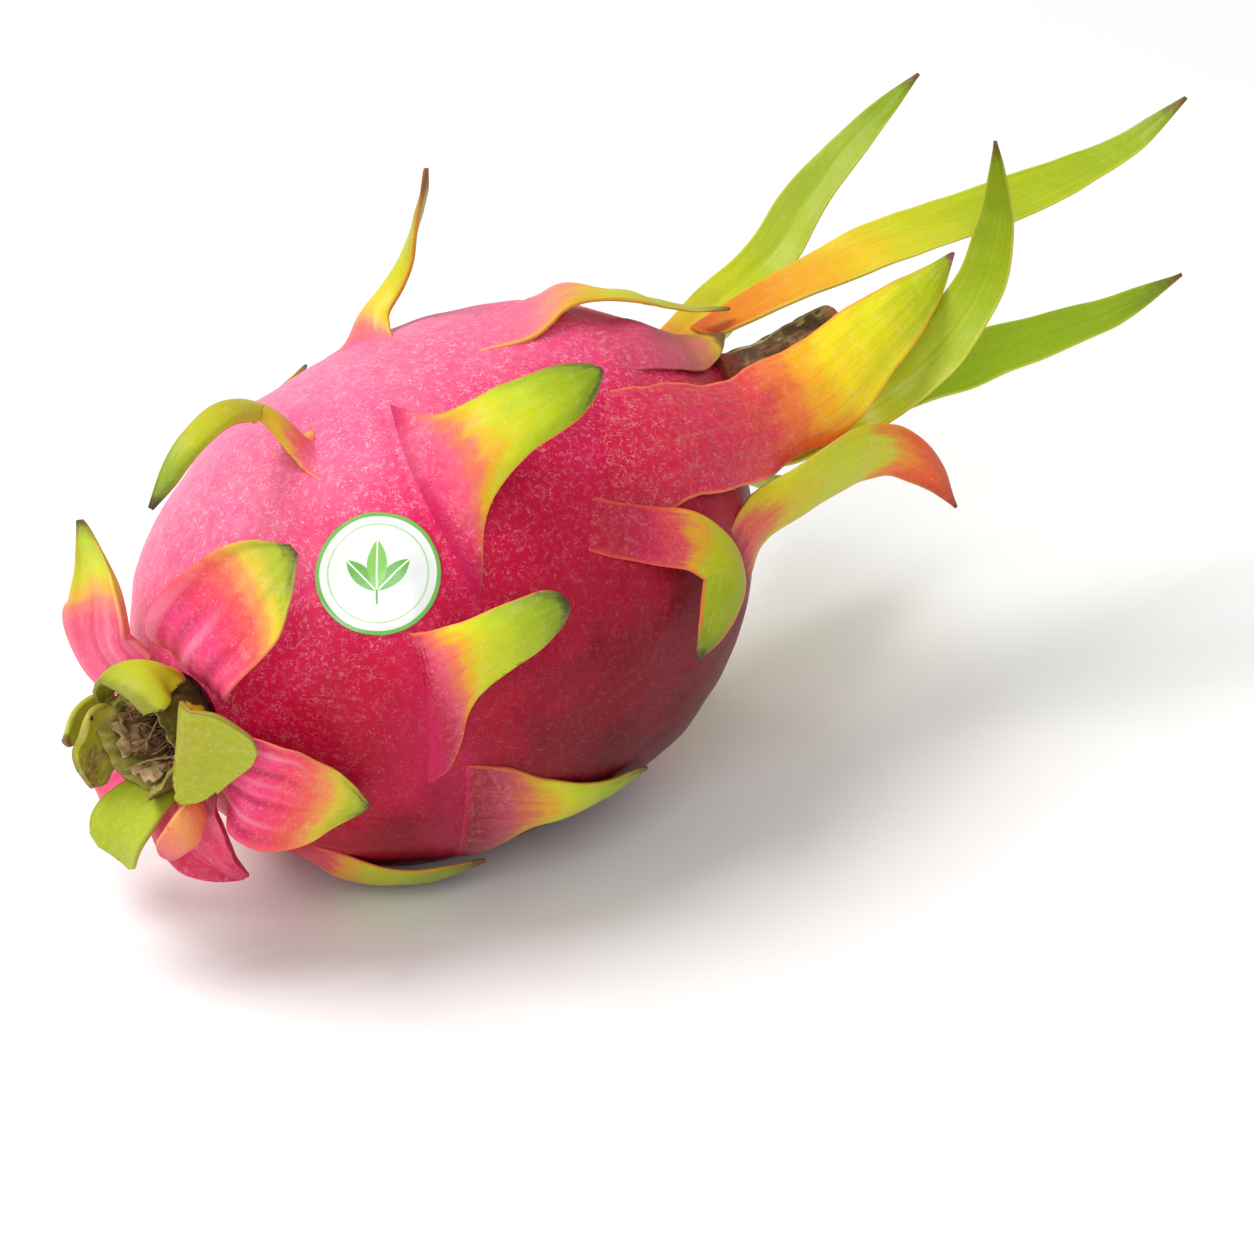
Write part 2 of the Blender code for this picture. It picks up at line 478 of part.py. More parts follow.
        NAVEL, 25.0, [(-77.0, 2.8, 54.0), (-81.5, 3.4, 54.6), (-84.8, 3.8, 53.6)],
        base=(-72.0, 2.0, 51.4), face=(0.0, 0.28, 1.0), cup=[(0, 70), (0.5, 120), (1, 135)], rows=9, cols=9,
        width=[(0.0, 0.42), (0.35, 0.74), (0.7, 1.0), (1.0, 0.9)],
    ),
    "navel_bract_near": blade(
        NAVEL, 20.0, [(-78.5, -10.4, 46.0), (-82.0, -12.0, 47.0), (-81.4, -15.0, 46.0), (-77.4, -19.4, 41.4)],
        base=(-74.0, -8.0, 45.0), face=(0.0, -1.0, 0.0), cup=[(0, 40), (0.5, 15), (1, 30)], rows=11, cols=7,
        width=[(0.0, 0.4), (0.3, 0.6), (0.5, 0.78), (0.66, 0.96), (0.8, 1.0), (0.92, 0.82), (1.0, 0.45)],
    ),
    "navel_bract_low": blade(
        NAVEL, 14.0, [(-77.0, -0.6, 32.2), (-81.5, -0.2, 30.0), (-85.2, 0.8, 26.4), (-86.0, 1.4, 22.0)],
        base=(-72.8, -0.6, 35.4), face=(0.0, 0.0, -1.0), cup=[(0, 50), (0.5, 55), (1, 40)], rows=10, cols=7,
        width=[(0.0, 0.5), (0.4, 0.85), (0.75, 1.0), (0.92, 0.9), (1.0, 0.6)],
    ),
    "navel_bract_far": blade(
        NAVEL, 16.0, [(-77.5, 9.6, 40.6), (-83.0, 9.8, 39.6), (-87.8, 8.2, 38.4)],
        base=(-74.0, 8.4, 42.2), face=(0.0, 1.0, 0.0), cup=[(0, 60), (1, 90)], rows=9, cols=8,
        width=[(0.0, 0.45), (0.4, 0.85), (0.75, 1.0), (1.0, 0.75)],
    ),
    "navel_bract_outer": blade(
        NAVEL, 9.0, [(-77.5, 13.6, 43.2), (-82.0, 14.0, 41.8), (-86.0, 13.0, 39.4)],
        base=(-75.0, 12.6, 44.2), face=(0.0, 1.0, 0.2), cup=[(0, 40), (1, 60)], rows=8, cols=5,
        width=[(0.0, 0.6), (0.4, 0.95), (0.75, 1.0), (1.0, 0.3)],
    ),
    "navel_bract_small": blade(
        NAVEL, 10.0, [(-79.4, -10.8, 29.9), (-82.4, -10.6, 27.4), (-83.6, -9.0, 25.2)],
        base=(-75.8, -9.0, 31.8), face=(-0.45, -0.75, -0.2), cup=[(0, 30), (1, 60)], rows=8, cols=5,
        width=[(0.0, 0.6), (0.5, 1.0), (0.8, 0.9), (1.0, 0.4)],
    ),
}

def ring_tube(points, radii, sides, squash=0.0):
    """A closed tube through the points, with a flat face at each end."""
    p = np.array(points, float)
    t = unit(np.gradient(p, axis=0))
    n = unit(np.cross(t[0], (0.0, 1.0, 0.3)))
    rings = []
    for i in range(len(p)):
        n = unit(n - t[i] * np.dot(n, t[i]))
        m = np.cross(t[i], n)
        a = np.arange(sides) * 2 * math.pi / sides
        r = radii[i] * (1 + squash * np.cos(3 * a + i * 0.7))
        rings.append(p[i] + r[:, None] * (np.cos(a)[:, None] * n + np.sin(a)[:, None] * m))
    verts = np.concatenate(rings)
    faces = []
    for i in range(len(p) - 1):
        for j in range(sides):
            k = (j + 1) % sides
            faces.append((i * sides + j, i * sides + k, (i + 1) * sides + k, (i + 1) * sides + j))
    faces.append(tuple(reversed(range(sides))))
    faces.append(tuple(range((len(p) - 1) * sides, len(p) * sides)))
    return verts, faces


def build_stem():
    """The cut stem: a slightly crooked stick with a thicker foot."""
    a, b = np.array(STEM_BASE), np.array(STEM_TIP)
    v = np.linspace(0.0, 1.0, 8)
    bow = np.sin(v * math.pi)[:, None] * np.array([0.0, 0.3, -0.6])
    pts = a + (b - a) * v[:, None] + bow
    radii = STEM_RADIUS * curve([(0, 1.15), (0.12, 1.0), (0.5, 0.92), (0.9, 1.0), (1, 0.9)], v)
    return ring_tube(pts, radii, 12, 0.05)


def build_remnant():
    """The withered foot of the flower inside the navel ring."""
    v = np.linspace(0.0, 1.0, 6)
    pts = np.array([-69.6, 0.3, 42.2]) + v[:, None] * np.array([-11.6, 0.2, -0.9])
    radii = curve([(0, 3.0), (0.3, 3.6), (0.7, 3.2), (1.0, 1.6)], v)
    return ring_tube(pts, radii, 12, 0.12)


def build_sticker(tree):
    """A thin round sheet that follows the skin."""
    x, th = STICKER_AT[0], math.radians(STICKER_AT[1])
    c, n = skin(x, th), skin_normal(x, th)
    e = 1e-3
    a = unit(skin(x + e, th) - skin(x - e, th))
    b = np.cross(n, a)
    sides, rings = 32, (0.34, 0.68, 1.0)
    pts = [c]
    for k in rings:
        for j in range(sides):
            w = j * 2 * math.pi / sides
            pts.append(c + STICKER_RADIUS * k * (a * math.cos(w) + b * math.sin(w)))
    near, nn = near_skin(tree, np.array(pts))
    low, top = near + nn * STICKER_GAP, near + nn * (STICKER_GAP + STICKER_THICK)
    m = len(pts)
    verts = np.concatenate([top, low])
    faces = []
    for s in (0, 1):
        for j in range(sides):
            k = (j + 1) % sides
            faces.append((s * m, s * m + 1 + j, s * m + 1 + k))
            for r in range(len(rings) - 1):
                p, q = s * m + 1 + r * sides, s * m + 1 + (r + 1) * sides
                faces.append((p + j, q + j, q + k, p + k))
    o = 1 + (len(rings) - 1) * sides
    for j in range(sides):
        k = (j + 1) % sides
        faces.append((o + j, m + o + j, m + o + k, o + k))
    return verts, faces


# Colour and roughness for each kind of piece, by the start of its name.
FINISH = {
    "fruit_body": ((0.62, 0.05, 0.16), 0.42),
    "side_bract": ((0.42, 0.48, 0.06), 0.45),
    "belly_bract": ((0.42, 0.48, 0.06), 0.45),
    "petal_bract": ((0.66, 0.10, 0.20), 0.45),
    "crown_bract": ((0.60, 0.38, 0.05), 0.45),
    "crown_leaf": ((0.30, 0.46, 0.05), 0.42),
    "navel_bract": ((0.38, 0.38, 0.10), 0.60),
    "flower_remnant": ((0.30, 0.20, 0.10), 0.85),
    "stem_stub": ((0.20, 0.12, 0.06), 0.80),
    "sticker": ((0.85, 0.85, 0.84), 0.30),
}


# --------------------------------------------------------------------- scene
def material(name, colour, rough):
    m = bpy.data.materials.new(name)
    m.use_nodes = True
    s = m.node_tree.nodes["Principled BSDF"]
    s.inputs["Base Color"].default_value = (*colour, 1.0)
    s.inputs["Roughness"].default_value = rough
    s.inputs["Metallic"].default_value = 0.0
    return m


def add(name, verts, faces, mat, parent):
    mesh = bpy.data.meshes.new(name)
    mesh.from_pydata([tuple(v * MM) for v in verts], [], [tuple(f) for f in faces])
    bm = bmesh.new()
    bm.from_mesh(mesh)
    bmesh.ops.recalc_face_normals(bm, faces=bm.faces)
    bm.to_mesh(mesh)
    bm.free()
    mesh.materials.append(mat)
    mesh.shade_smooth()
    mesh.set_sharp_from_angle(angle=math.radians(50))
    ob = bpy.data.objects.new(name, mesh)
    bpy.context.scene.collection.objects.link(ob)
    ob.parent = parent
    return ob


def main():
    for ob in list(bpy.data.objects):
        bpy.data.objects.remove(ob, do_unlink=True)
    fruit = bpy.data.objects.new("dragon_fruit", None)
    bpy.context.scene.collection.objects.link(fruit)

    pieces = {"fruit_body": build_body(BODY_ROWS, BODY_SIDES)}
    tree = BVHTree.FromPolygons([tuple(v) for v in pieces["fruit_body"][0]], pieces["fruit_body"][1])
    pieces["stem_stub"] = build_stem()
    pieces["flower_remnant"] = build_remnant()
    pieces["sticker"] = build_sticker(tree)
    for name, b in BLADES.items():
        pieces[name] = build_blade(b, tree, b.get("rows", BLADE_ROWS), b.get("cols", BLADE_COLS + 1))
    for name, (verts, faces) in pieces.items():
        colour, rough = next(f for kind, f in FINISH.items() if name.startswith(kind))
        add(name, verts, faces, material(name, colour, rough), fruit)


main()
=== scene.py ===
"""The looks of the whole dragon fruit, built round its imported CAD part.

Every piece is built here again, finely, from the same design as the CAD piece it
stands for. All lengths in the tables are in millimetres and all angles in degrees.
"""

import math

import bpy
import numpy as np
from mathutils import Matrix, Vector
from mathutils.bvhtree import BVHTree


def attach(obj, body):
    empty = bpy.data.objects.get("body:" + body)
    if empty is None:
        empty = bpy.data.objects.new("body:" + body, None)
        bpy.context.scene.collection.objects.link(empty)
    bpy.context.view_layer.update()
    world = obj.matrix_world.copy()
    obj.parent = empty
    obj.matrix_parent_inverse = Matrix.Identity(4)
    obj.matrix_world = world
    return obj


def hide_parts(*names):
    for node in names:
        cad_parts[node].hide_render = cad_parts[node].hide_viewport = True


MM = 0.001


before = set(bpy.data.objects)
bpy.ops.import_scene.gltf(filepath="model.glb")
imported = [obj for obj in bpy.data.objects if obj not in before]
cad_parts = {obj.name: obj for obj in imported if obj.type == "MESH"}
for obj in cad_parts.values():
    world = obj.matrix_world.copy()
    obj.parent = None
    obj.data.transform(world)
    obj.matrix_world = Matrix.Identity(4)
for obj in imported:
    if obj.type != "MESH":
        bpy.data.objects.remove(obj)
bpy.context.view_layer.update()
rng = np.random.default_rng(11)


def srgb(r, g, b):
    """A colour given as 0-255 screen values, as linear values."""
    out = []
    for c in (r, g, b):
        c = c / 255.0
        out.append(c / 12.92 if c <= 0.04045 else ((c + 0.055) / 1.055) ** 2.4)
    return (*out, 1.0)


def ripe(stops):
    """The same stops with the greens and yellows warmer and purer."""
    out = []
    for at, (r, g, b) in stops:
        green = min(1.0, max(0.0, (g - b - 40) / 60.0))
        warm = max(0.0, 0.3 * (g - r)) if r < g else 0.0
        out.append((at, (round(r + green * warm), g, round(b * (1 - 0.62 * green)))))
    return out


# ------------------------------------------------------------------- shaders
class Graph:
    """One material's node tree, with short ways to add nodes to it."""

    def __init__(self, name):
        self.mat = bpy.data.materials.new(name)
        self.mat.use_nodes = True
        self.t = self.mat.node_tree
        self.bsdf = self.t.nodes["Principled BSDF"]
        self.pos = self.node("ShaderNodeTexCoord").outputs["Object"]

    def node(self, kind, **props):
        n = self.t.nodes.new(kind)
        for k, v in props.items():
            setattr(n, k, v)
        return n

    def put(self, socket, value):
        if isinstance(value, bpy.types.NodeSocket):
            self.t.links.new(value, socket)
        else:
            socket.default_value = value

    def attr(self, name):
        return self.node("ShaderNodeAttribute", attribute_type="GEOMETRY", attribute_name=name).outputs["Fac"]

    def math(self, op, a, b=0.0, c=0.0, clamp=False):
        n = self.node("ShaderNodeMath", operation=op, use_clamp=clamp)
        self.put(n.inputs[0], a)
        self.put(n.inputs[1], b)
        self.put(n.inputs[2], c)
        return n.outputs[0]

    def mul(self, a, b, clamp=False):
        return self.math("MULTIPLY", a, b, clamp=clamp)

    def sum(self, a, b, clamp=False):
        return self.math("ADD", a, b, clamp=clamp)

    def fma(self, a, b, c, clamp=False):
        return self.math("MULTIPLY_ADD", a, b, c, clamp=clamp)

    def step(self, x, low, high):
        """0 below low, 1 above high, smooth between (low may exceed high)."""
        n = self.node("ShaderNodeMapRange", interpolation_type="SMOOTHSTEP")
        flip = low > high
        self.put(n.inputs["Value"], x)
        n.inputs["From Min"].default_value = min(low, high)
        n.inputs["From Max"].default_value = max(low, high)
        n.inputs["To Min"].default_value = 1.0 if flip else 0.0
        n.inputs["To Max"].default_value = 0.0 if flip else 1.0
        return n.outputs["Result"]

    def mix(self, fac, a, b, blend="MIX"):
        n = self.node("ShaderNodeMix", data_type="RGBA", blend_type=blend, clamp_factor=True)
        self.put(n.inputs[0], fac)
        self.put(n.inputs[6], a)
        self.put(n.inputs[7], b)
        return n.outputs[2]

    def blend(self, fac, a, b):
        n = self.node("ShaderNodeMix", data_type="FLOAT", clamp_factor=True)
        self.put(n.inputs[0], fac)
        self.put(n.inputs[2], a)
        self.put(n.inputs[3], b)
        return n.outputs[0]

    def vec(self, x, y, z=0.0):
        n = self.node("ShaderNodeCombineXYZ")
        for s, v in zip(n.inputs, (x, y, z)):
            self.put(s, v)
        return n.outputs[0]

    def scaled(self, v, factors, shift=(0.0, 0.0, 0.0)):
        n = self.node("ShaderNodeVectorMath", operation="MULTIPLY_ADD")
        self.put(n.inputs[0], v)
        n.inputs[1].default_value = factors
        n.inputs[2].default_value = shift
        return n.outputs[0]

    def dot(self, v, d):
        n = self.node("ShaderNodeVectorMath", operation="DOT_PRODUCT")
        self.put(n.inputs[0], v)
        n.inputs[1].default_value = d
        return n.outputs["Value"]

    def noise(self, v, scale, detail=2.0, rough=0.5, distort=0.0):
        n = self.node("ShaderNodeTexNoise")
        self.put(n.inputs["Vector"], v)
        n.inputs["Scale"].default_value = scale
        n.inputs["Detail"].default_value = detail
        n.inputs["Roughness"].default_value = rough
        n.inputs["Distortion"].default_value = distort
        return n.outputs["Fac"]

    def cells(self, v, scale, random=1.0):
        n = self.node("ShaderNodeTexVoronoi", feature="F1")
        self.put(n.inputs["Vector"], v)
        n.inputs["Scale"].default_value = scale
        n.inputs["Randomness"].default_value = random
        return n.outputs["Distance"], n.outputs["Color"]

    def ramp(self, x, stops, smooth=True):
        n = self.node("ShaderNodeValToRGB")
        n.color_ramp.interpolation = "EASE" if smooth else "LINEAR"
        el = n.color_ramp.elements
        while len(el) > 1:
            el.remove(el[-1])
        for i, (p, c) in enumerate(stops):
            e = el[0] if i == 0 else el.new(p)
            e.position = p
            e.color = srgb(*c)
        self.put(n.inputs[0], x)
        return n.outputs[0]

    def bump(self, height, strength, distance):
        n = self.node("ShaderNodeBump")
        n.inputs["Strength"].default_value = strength
        n.inputs["Distance"].default_value = distance
        self.put(n.inputs["Height"], height)
        return n.outputs[0]

    def finish(self, colour, rough, normal=None, coat=0.0, sss=0.0, spec=0.5, sheen=0.0):
        s = self.bsdf
        self.put(s.inputs["Base Color"], colour)
        self.put(s.inputs["Roughness"], rough)
        if normal is not None:
            self.put(s.inputs["Normal"], normal)
        s.inputs["Coat Weight"].default_value = coat
        s.inputs["Coat Roughness"].default_value = 0.28
        s.inputs["Specular IOR Level"].default_value = spec
        s.inputs["Subsurface Weight"].default_value = sss
        s.inputs["Subsurface Radius"].default_value = (1.0, 0.25, 0.2)
        s.inputs["Subsurface Scale"].default_value = 0.002
        s.inputs["Sheen Weight"].default_value = sheen
        return self.mat


def worms(g):
    """Short pale wiggles and dots in the wax of the skin, 0 to 1."""
    p = g.scaled(g.pos, (760.0, 1050.0, 1050.0))
    n = g.noise(p, 1.0, 1.0, 0.5, 0.6)
    line = g.step(g.math("ABSOLUTE", g.sum(n, -0.5)), 0.040, 0.0)
    broken = g.step(g.noise(g.pos, 620.0, 1.0), 0.44, 0.58)
    wig = g.mul(line, broken)
    n2 = g.noise(g.scaled(g.pos, (1500.0, 1150.0, 1300.0), (3.1, 7.7, 1.3)), 1.0, 1.0, 0.5, 0.9)
    fine = g.mul(g.step(g.math("ABSOLUTE", g.sum(n2, -0.5)), 0.05, 0.0), g.step(g.noise(g.pos, 900.0, 0.0), 0.5, 0.62))
    d, c = g.cells(g.pos, 560.0)
    dots = g.mul(g.step(d, 0.17, 0.08), g.step(c, 0.45, 0.9))
    return g.math("MAXIMUM", g.math("MAXIMUM", wig, g.mul(fine, 0.7)), dots)


def lit_skin_colour(g, marks, pale=1.0):
    """Pink skin with painted light and shade: lighter, with a whitish wax bloom and painted sheen, on the upper far
    side towards the key light, and painted shade in crimson on the near low side.
    """
    here = g.scaled(g.pos, (1 / 0.046, 1 / 0.046, 1 / 0.046), (14 / 46, 0.0, -44 / 46))
    # painted light and shade: the skin grows lighter towards the key light (up and far) and darker crimson on the near
    # low side; the noise below adds real patchiness
    shade_and_tone = g.dot(here, (-0.14, 0.74, 0.62))
    soft = g.noise(g.pos, 38.0, 2.0, 0.5)
    mid = g.noise(g.pos, 150.0, 3.0, 0.55)
    shade_and_tone = g.sum(shade_and_tone, g.fma(soft, 0.36, -0.18))
    shade_and_tone = g.sum(shade_and_tone, g.fma(mid, 0.24, -0.12))
    x = g.fma(shade_and_tone, 0.5, 0.5, clamp=True)
    base = g.ramp(x, SKIN_LIGHT_AND_SHADE)
    # painted sheen: the whitish wax bloom is laid on the lit side only
    bloom_and_sheen = g.mul(g.step(x, 0.5, 0.95), g.fma(g.noise(g.pos, 420.0, 3.0, 0.6), 0.9, 0.1))
    base = g.mix(g.mul(bloom_and_sheen, 0.45 * pale), base, srgb(252, 190, 208))
    # the pale wax marks fade where the shade is painted
    amount = g.fma(g.step(x, 0.2, 0.8), 0.52 * pale, 0.06)
    return g.mix(g.mul(marks, amount), base, srgb(255, 200, 210)), x


# Skin colours from the painted shade of the near low side (dark crimson) to the painted light of the upper far side.
SKIN_LIGHT_AND_SHADE = [
    (0.0, (92, 0, 14)), (0.14, (122, 1, 24)), (0.26, (162, 7, 42)), (0.4, (190, 12, 56)),
    (0.52, (208, 22, 76)), (0.66, (224, 46, 106)), (0.8, (230, 64, 122)), (1.0, (236, 80, 136)),
]


def skin_material():
    g = Graph("skin")
    m = worms(g)
    colour, x = lit_skin_colour(g, m)
    crease = g.attr("crease")
    # painted shade: the groove along each bract's root is painted a deeper magenta
    colour = g.mix(g.mul(g.step(crease, 0.25, 0.95), 0.8), colour, srgb(196, 6, 74))
    halo = g.attr("halo")
    colour = g.mix(g.mul(halo, 0.18), colour, srgb(226, 40, 108))
    fine = g.noise(g.pos, 1500.0, 3.0, 0.6)
    height = g.sum(g.mul(m, 0.35), g.mul(fine, 0.6))
    rough = g.sum(g.fma(g.noise(g.pos, 300.0, 2.0), 0.14, 0.33), g.mul(m, 0.10))
    return g.finish(colour, rough, g.bump(height, 0.35, 0.00014), coat=0.0, sss=0.0, spec=0.16, sheen=0.0)


def blade_material(name, look, seed):
    g = Graph(name)
    v, u, under, edge = (g.attr(k) for k in ("along", "across", "under", "edge"))
    u2 = g.mul(u, u)
    m = worms(g)
    lines = g.noise(g.vec(g.fma(u, look["grain"], seed * 3.1), g.mul(v, 2.2), g.fma(under, 4.0, seed)), 1.0, 3.0, 0.55)
    broad = g.noise(g.vec(g.fma(u, 1.3, seed * 1.7), g.mul(v, 3.0), g.fma(under, 3.0, seed * 2.3)), 1.0, 2.0, 0.5)
    spots = g.noise(g.pos, 260.0, 4.0, 0.6)
    t = g.sum(v, g.mul(u2, look["edge_shift"]))
    t = g.sum(t, g.mul(u, look["lean"]))
    t = g.sum(t, g.fma(lines, look["streak"], -0.5 * look["streak"]))
    t = g.sum(t, g.fma(broad, look["drift"], -0.5 * look["drift"]))
    t = g.sum(t, g.fma(spots, 0.06, -0.03), clamp=True)
    top = g.ramp(t, ripe(look["top"]))
    low = g.ramp(t, ripe(look["low"]))
    # parallel veins that run to the tip
    if look["veins"]:
        w = g.math("FRACT", g.sum(g.fma(u, look["veins"] * 0.5, 40.25), g.fma(broad, 0.35, 0.0)))
        vein = g.step(g.math("ABSOLUTE", g.sum(w, -0.5)), 0.10, 0.0)
        wide = g.step(lines, 0.42, 0.66)
        f = g.mul(g.sum(g.mul(vein, 0.75), g.mul(wide, 0.35)), look["vein_depth"])
        f = g.mul(f, g.step(v, 0.02, 0.2))
        top = g.mix(f, top, look["vein_colour"] if "vein_colour" in look else srgb(96, 140, 30))
        low = g.mix(g.mul(f, 0.7), low, look["vein_colour"] if "vein_colour" in look else srgb(96, 140, 30))
    # painted highlight on the raised ribs of a petal and painted shade in the grooves between them
    if look["ribs"]:
        r = g.mul(g.attr("rib"), g.step(v, 0.80, 0.35))
        top = g.mix(g.mul(g.step(r, 0.15, 1.0), look["rib_highlight"]), top, srgb(250, 170, 186))
        top = g.mix(g.mul(g.step(r, -0.1, -0.9), look["rib_groove_shade"]), top, srgb(172, 14, 66))
    colour = g.mix(under, top, low)
    # the root takes the skin's colour, with its painted light, shade and sheen
    pink, x = lit_skin_colour(g, m, 0.8)
    if look["blend"] > 0:
        b = g.step(g.sum(v, g.fma(lines, 0.12, -0.06)), 0.0, look["blend"])
        colour = g.mix(b, pink, colour)
    # mottling and fine wax marks
    mott = g.noise(g.pos, 700.0, 4.0, 0.65)
    colour = g.mix(g.mul(g.step(mott, 0.42, 0.72), look["mottle"]), colour, g.mix(0.35, colour, srgb(250, 236, 150)))
    colour = g.mix(g.mul(m, look["marks"]), colour, srgb(255, 222, 206))
    # rim
    if look["rim_width"]:
        e = g.sum(edge, g.fma(g.noise(g.pos, 330.0, 2.0), 0.9 * look["rim_width"], -0.45 * look["rim_width"]))
        rim = g.mul(g.step(e, look["rim_width"], look["rim_width"] * 0.15), g.step(v, 0.97, 0.86))
        colour = g.mix(g.mul(rim, look["rim_amount"]), colour, srgb(*look["rim"]))
    # small dark nicks along the margin
    if look["nicks"]:
        nick = g.mul(g.step(edge, 0.75, 0.25), g.step(g.noise(g.pos, 520.0, 2.0, 0.6), 0.62, 0.68))
        colour = g.mix(g.mul(nick, look["nicks"]), colour, srgb(70, 40, 26))
    # dried tip
    if look["tip_from"] < 1.0:
        d = g.sum(v, g.sum(g.fma(g.noise(g.pos, 400.0, 3.0, 0.6), 0.10, -0.05), g.mul(u2, -0.01)))
        dry = g.step(d, look["tip_from"], min(1.0, look["tip_from"] + look["tip_soft"]))
        colour = g.mix(g.mul(dry, look["tip_amount"]), colour, srgb(*look["tip"]))
    # painted shade in the groove at the blade's root
    if look["crease"]:
        c = g.step(v, look["crease"], look["crease"] * 0.25)
        colour = g.mix(g.mul(c, 0.9), colour, srgb(190, 2, 78))
    if look["brown"]:
        n = g.noise(g.pos, 210.0, 5.0, 0.7, 0.6)
        patch = g.mul(g.step(g.sum(n, g.mul(g.attr("dry"), 0.45)), 0.62, 0.80), look["brown"])
        grainy = g.noise(g.pos, 900.0, 4.0, 0.7)
        colour = g.mix(patch, colour, g.ramp(grainy, [(0.3, (96, 68, 40)), (0.55, (150, 116, 78)), (0.75, (206, 178, 140))]))
    fine = g.noise(g.vec(g.mul(g.attr("cross_mm"), 3.2), g.mul(g.attr("run_mm"), 0.35), seed), 1.0, 3.0, 0.6)
    height = g.sum(g.mul(fine, 0.7), g.mul(g.noise(g.pos, 1200.0, 2.0), 0.4))
    rough = g.fma(g.noise(g.pos, 350.0, 2.0), 0.16, look["rough"])
    return g.finish(colour, rough, g.bump(height, 0.35, 0.00016), coat=look["coat"], sss=look["sss"], spec=0.22)



# Radius of the fruit at stations along X, from the navel end to the stem end.
PROFILE = [
    (-70.0, 7.5), (-68.4, 12.0), (-65.6, 17.4), (-61.0, 24.0), (-54.0, 31.2),
    (-44.0, 37.8), (-30.0, 42.8), (-14.0, 45.1), (0.0, 45.5), (14.0, 44.3),
    (25.0, 40.4), (34.0, 33.6), (41.0, 25.4), (46.5, 17.8), (50.5, 11.6),
    (53.0, 7.4),
]
# The spine's height over the table and its sideways place: the stem end turns
# up and a little to the near side.
SPINE_Z = [
    (-70.0, 43.4), (-35.0, 44.0), (0.0, 44.2), (22.0, 45.4), (34.0, 49.4),
    (44.0, 56.4), (53.0, 65.4),
]
SPINE_Y = [(-70.0, 0.0), (18.0, 0.0), (36.0, -1.6), (46.0, -4.0), (53.0, -6.0)]
BELLY_GIVE = 1.3  # how far the belly would bulge below the table, on top of its roundness
NAVEL_PIT = 3.0  # depth of the hollow in the navel end
STEM_PIT = 1.2  # depth of the hollow that the stem sits in

STEM_BASE = (54.6, -11.6, 69.4)
STEM_TIP = (81.5, -13.5, 71.8)
STEM_RADIUS = 2.7

STICKER_AT = (-48.7, 43.4)  # station and angle of its centre
STICKER_RADIUS = 10.4
STICKER_THICK = 0.5



# ------------------------------------------------------------------- curves
def curve(table, x):
    """A smooth curve through (position, value) pairs that doesn't overshoot."""
    xs = np.array([a for a, _ in table], float)
    ys = np.array([b for _, b in table], float)
    h = np.diff(xs)
    d = np.diff(ys) / h
    m = np.zeros(len(xs))
    m[0], m[-1] = d[0], d[-1]
    for i in range(1, len(xs) - 1):
        m[i] = 0.0 if d[i - 1] * d[i] <= 0 else 2 * d[i - 1] * d[i] / (d[i - 1] + d[i])
    x = np.clip(np.asarray(x, float), xs[0], xs[-1])
    i = np.clip(np.searchsorted(xs, x) - 1, 0, len(xs) - 2)
    t = (x - xs[i]) / h[i]
    return (
        ys[i] * (2 * t**3 - 3 * t**2 + 1)
        + m[i] * h[i] * (t**3 - 2 * t**2 + t)
        + ys[i + 1] * (3 * t**2 - 2 * t**3)
        + m[i + 1] * h[i] * (t**3 - t**2)
    )


def smooth(t):
    t = np.clip(t, 0.0, 1.0)
    return t * t * (3 - 2 * t)


def unit(v):
    return v / np.maximum(np.linalg.norm(v, axis=-1, keepdims=True), 1e-12)


# ----------------------------------------------------------------- the fruit
def skin(x, th):
    """Points of the fruit's skin at station x and angle th (radians). th is 0 on
    top, 90 degrees on the near side and 180 degrees on the table."""
    x = np.asarray(x, float)
    th = np.asarray(th, float)
    r = curve(PROFILE, x) * (
        1.0
        + 0.008 * np.sin(3 * th + 0.9 + x / 30.0)
        + 0.005 * np.sin(5 * th + x / 17.0)
    )
    y = curve(SPINE_Y, x) - np.sin(th) * r
    # the belly gives a little where it bears on the table
    give = BELLY_GIVE * np.exp(-(((x + 7.0) / 30.0) ** 2)) * smooth((-np.cos(th) - 0.86) / 0.12)
    z = curve(SPINE_Z, x) + np.cos(th) * r - give
    return np.stack([x + 0 * th, y, np.maximum(z, 0.0)], -1)


def skin_normal(x, th):
    e = 1e-3
    dx = skin(x + e, th) - skin(x - e, th)
    dt = skin(x, th + e) - skin(x, th - e)
    return unit(np.cross(dx, dt)) * -1.0


def stations(rows):
    """Stations along X, closer together toward both ends."""
    t = np.linspace(0.0, math.pi, rows)
    mid = 0.5 * (PROFILE[0][0] + PROFILE[-1][0])
    half = 0.5 * (PROFILE[-1][0] - PROFILE[0][0])
    return mid - half * np.cos(t)


def build_body(rows, sides):
    th = np.arange(sides) * 2 * math.pi / sides
    rings = [skin(np.full(sides, x), th) for x in stations(rows)]
    # a small hollow in each end
    for at, depth in ((0, NAVEL_PIT), (-1, -STEM_PIT)):
        rim = rings[at]
        mid = rim.mean(axis=0)
        floor = mid + (rim - mid) * 0.55
        floor[:, 0] += depth
        rings.insert(0 if at == 0 else len(rings), floor)
    verts = np.concatenate(rings)
    n = len(rings)
    faces = []
    for i in range(n - 1):
        for j in range(sides):
            k = (j + 1) % sides
            faces.append((i * sides + j, i * sides + k, (i + 1) * sides + k, (i + 1) * sides + j))
    faces.append(tuple(reversed(range(sides))))
    faces.append(tuple(range((n - 1) * sides, n * sides)))
    return verts, faces


